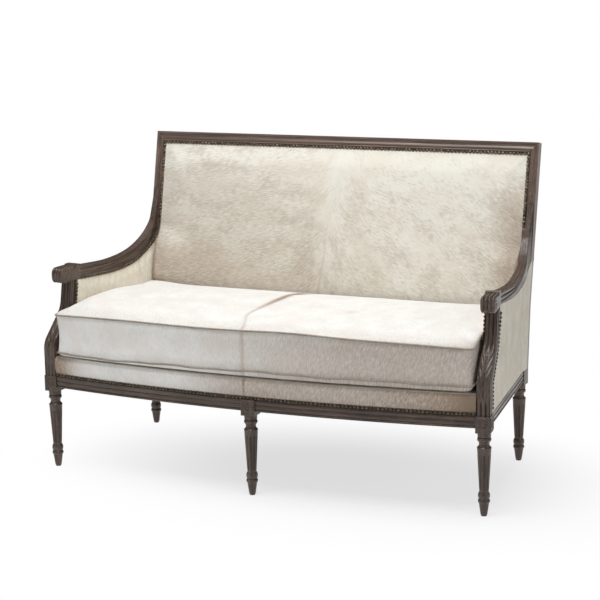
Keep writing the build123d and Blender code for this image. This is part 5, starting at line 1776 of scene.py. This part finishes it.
def studio_floor(context):
    """A wide pale floor: it takes the shadow in an oval about the settee, and fades to white outside."""
    steps = np.array((0.0, 0.5, 1.0, 2.0, 4.0, 9.0, 20.0))[:, None]
    turn = np.linspace(0, 2 * pi, 64, endpoint=False)[None]
    rings = np.stack(np.broadcast_arrays(steps * np.cos(turn), steps * np.sin(turn), 0.0 * turn), -1)
    floor = mesh_from_grids("floor", [(rings, True)])
    if floor.data.polygons[0].normal.z < 0:
        floor.data.flip_normals()
    material, tree, surface = new_material("Floor")
    surface.inputs["Base Color"].default_value = rgba(context.scene.settee_colours.floor)
    surface.inputs["Roughness"].default_value = 0.9
    surface.inputs["Specular IOR Level"].default_value = 0.1
    path = tree.nodes.new("ShaderNodeLightPath")
    seen = calc(tree, "MAXIMUM", path.outputs["Is Camera Ray"], path.outputs["Is Glossy Ray"])
    seen = calc(tree, "MAXIMUM", seen, path.outputs["Is Transmission Ray"])
    place = tree.nodes.new("ShaderNodeTexCoord")
    distance = tree.nodes.new("ShaderNodeVectorMath")
    distance.operation = "LENGTH"
    oval = tree.nodes.new("ShaderNodeMapping")
    oval.inputs["Scale"].default_value = (0.80, 1.35, 1.0)
    oval.inputs["Location"].default_value = (-0.20, 0.12, 0.0)
    tree.links.new(place.outputs["Object"], oval.inputs["Vector"])
    tree.links.new(oval.outputs["Vector"], distance.inputs[0])
    share = spread(tree, distance.outputs["Value"], 0.25, 0.95, 0.68, 1.0)
    white = tree.nodes.new("ShaderNodeEmission")
    white.inputs["Color"].default_value = (1, 1, 1, 1)
    white.inputs["Strength"].default_value = 1.0
    mix = tree.nodes.new("ShaderNodeMixShader")
    tree.links.new(calc(tree, "MULTIPLY", share, seen), mix.inputs[0])
    tree.links.new(surface.outputs[0], mix.inputs[1])
    tree.links.new(white.outputs[0], mix.inputs[2])
    tree.links.new(mix.outputs[0], tree.nodes["Material Output"].inputs["Surface"])
    floor.data.materials.append(material)
    floor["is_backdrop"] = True


def studio_world(strength):
    """White all round for the camera, a softer level as light and half of that in reflections."""
    world = bpy.data.worlds.new("Studio")
    bpy.context.scene.world = world
    world.use_nodes = True
    tree = world.node_tree
    sky = tree.nodes["Background"]
    sky.inputs["Color"].default_value = (1, 1, 1, 1)
    path = tree.nodes.new("ShaderNodeLightPath")
    seen = calc(tree, "MAXIMUM", path.outputs["Is Camera Ray"], path.outputs["Is Transmission Ray"])
    light = calc(tree, "MULTIPLY_ADD", path.outputs["Is Glossy Ray"], -0.5 * strength, strength)
    level = calc(tree, "MAXIMUM", seen, light)
    tree.links.new(level, sky.inputs["Strength"])


def soft_lamp(name, place, aim, size, power, gleam):
    """A square area lamp at a place, turned to an aim, with a share of it seen as gleam."""
    lamp = bpy.data.lights.new(name, "AREA")
    lamp.shape = "SQUARE"
    lamp.size = size
    lamp.energy = power
    lamp.specular_factor = gleam
    made = bpy.data.objects.new(name, lamp)
    made.location = place
    made.rotation_euler = (Vector(aim) - Vector(place)).to_track_quat("-Z", "Y").to_euler()
    bpy.context.scene.collection.objects.link(made)
    made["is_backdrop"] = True


def photo_camera():
    """The camera at the photograph's viewing place, for a square picture."""
    place = (2.0076, -4.6109, 1.5460)
    yaw, pitch, roll = radians(23.4576), radians(11.788), radians(-1.01288)
    ahead = Vector((-sin(yaw) * cos(pitch), cos(yaw) * cos(pitch), -sin(pitch)))
    right = Vector((cos(yaw), sin(yaw), 0))
    up = right.cross(ahead)
    right, up = right * cos(roll) + up * sin(roll), up * cos(roll) - right * sin(roll)
    lens = bpy.data.cameras.new("photo")
    lens.sensor_fit = "HORIZONTAL"
    lens.sensor_width = 36.0
    lens.lens = 103.71
    lens.clip_end = 100.0
    made = bpy.data.objects.new("photo", lens)
    turn = Matrix((right, up, -ahead)).transposed().to_4x4()
    made.matrix_world = Matrix.Translation(place) @ turn
    bpy.context.scene.collection.objects.link(made)
    bpy.context.scene.camera = made


class SETTEE_OT_stage(Operator):
    """Set the floor, the light and the camera"""

    bl_idname = "settee.stage"
    bl_label = "Stage"

    def execute(self, context):
        studio_floor(context)
        studio_world(strength=0.27)
        soft_lamp("overhead", (0.0, -0.7, 3.4), (0.0, 0.0, 0.4), size=2.2, power=92.0, gleam=1.0)
        soft_lamp("right", (3.4, -1.4, 1.8), (0.5, 0.0, 0.4), size=1.6, power=18.0, gleam=0.2)
        soft_lamp("left", (-2.6, -3.2, 1.5), (-0.4, -0.3, 0.35), size=1.8, power=15.0, gleam=1.0)
        photo_camera()
        context.scene.view_settings.view_transform = "Standard"
        return {"FINISHED"}


class SETTEE_PT_panel(Panel):
    """Lists the settee's sizes, colours and pieces"""

    bl_label = "Settee"
    bl_idname = "SETTEE_PT_panel"
    bl_space_type = "VIEW_3D"
    bl_region_type = "UI"
    bl_category = "Settee"

    def draw(self, context):
        for group in (context.scene.settee_sizes, context.scene.settee_colours):
            for name in group.__annotations__:
                self.layout.prop(group, name)
        for operator in OPERATORS:
            self.layout.operator(operator.bl_idname)


OPERATORS = (
    SETTEE_OT_finishes,
    SETTEE_OT_arms,
    SETTEE_OT_posts,
    SETTEE_OT_rosettes,
    SETTEE_OT_inside_back,
    SETTEE_OT_crest_bead,
    SETTEE_OT_outside_back,
    SETTEE_OT_arm_covers,
    SETTEE_OT_nails,
    SETTEE_OT_border,
    SETTEE_OT_underside,
    SETTEE_OT_seat_cushion,
    SETTEE_OT_piping,
    SETTEE_OT_stage,
)
CLASSES = (SetteeSizes, SetteeColours, *OPERATORS, SETTEE_PT_panel)


def register():
    """Register the classes and hang the sizes and colours on the scene."""
    for item in CLASSES:
        bpy.utils.register_class(item)
    bpy.types.Scene.settee_sizes = PointerProperty(type=SetteeSizes)
    bpy.types.Scene.settee_colours = PointerProperty(type=SetteeColours)


def unregister():
    """Take the sizes, colours and classes away again."""
    del bpy.types.Scene.settee_colours
    del bpy.types.Scene.settee_sizes
    for item in reversed(CLASSES):
        bpy.utils.unregister_class(item)


def main():
    """Dress the settee piece by piece."""
    register()
    bpy.ops.settee.finishes()
    bpy.ops.settee.arms()
    bpy.ops.settee.posts()
    bpy.ops.settee.rosettes()
    bpy.ops.settee.inside_back()
    bpy.ops.settee.crest_bead()
    bpy.ops.settee.outside_back()
    bpy.ops.settee.arm_covers()
    bpy.ops.settee.nails()
    bpy.ops.settee.border()
    bpy.ops.settee.underside()
    bpy.ops.settee.seat_cushion()
    bpy.ops.settee.piping()
    bpy.ops.settee.stage()
    corners = {"cad": CAD_BOX, "visual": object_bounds()}
    boxes = {name: [list(corner) for corner in box] for name, box in corners.items()}


if __name__ == "__main__":
    main()
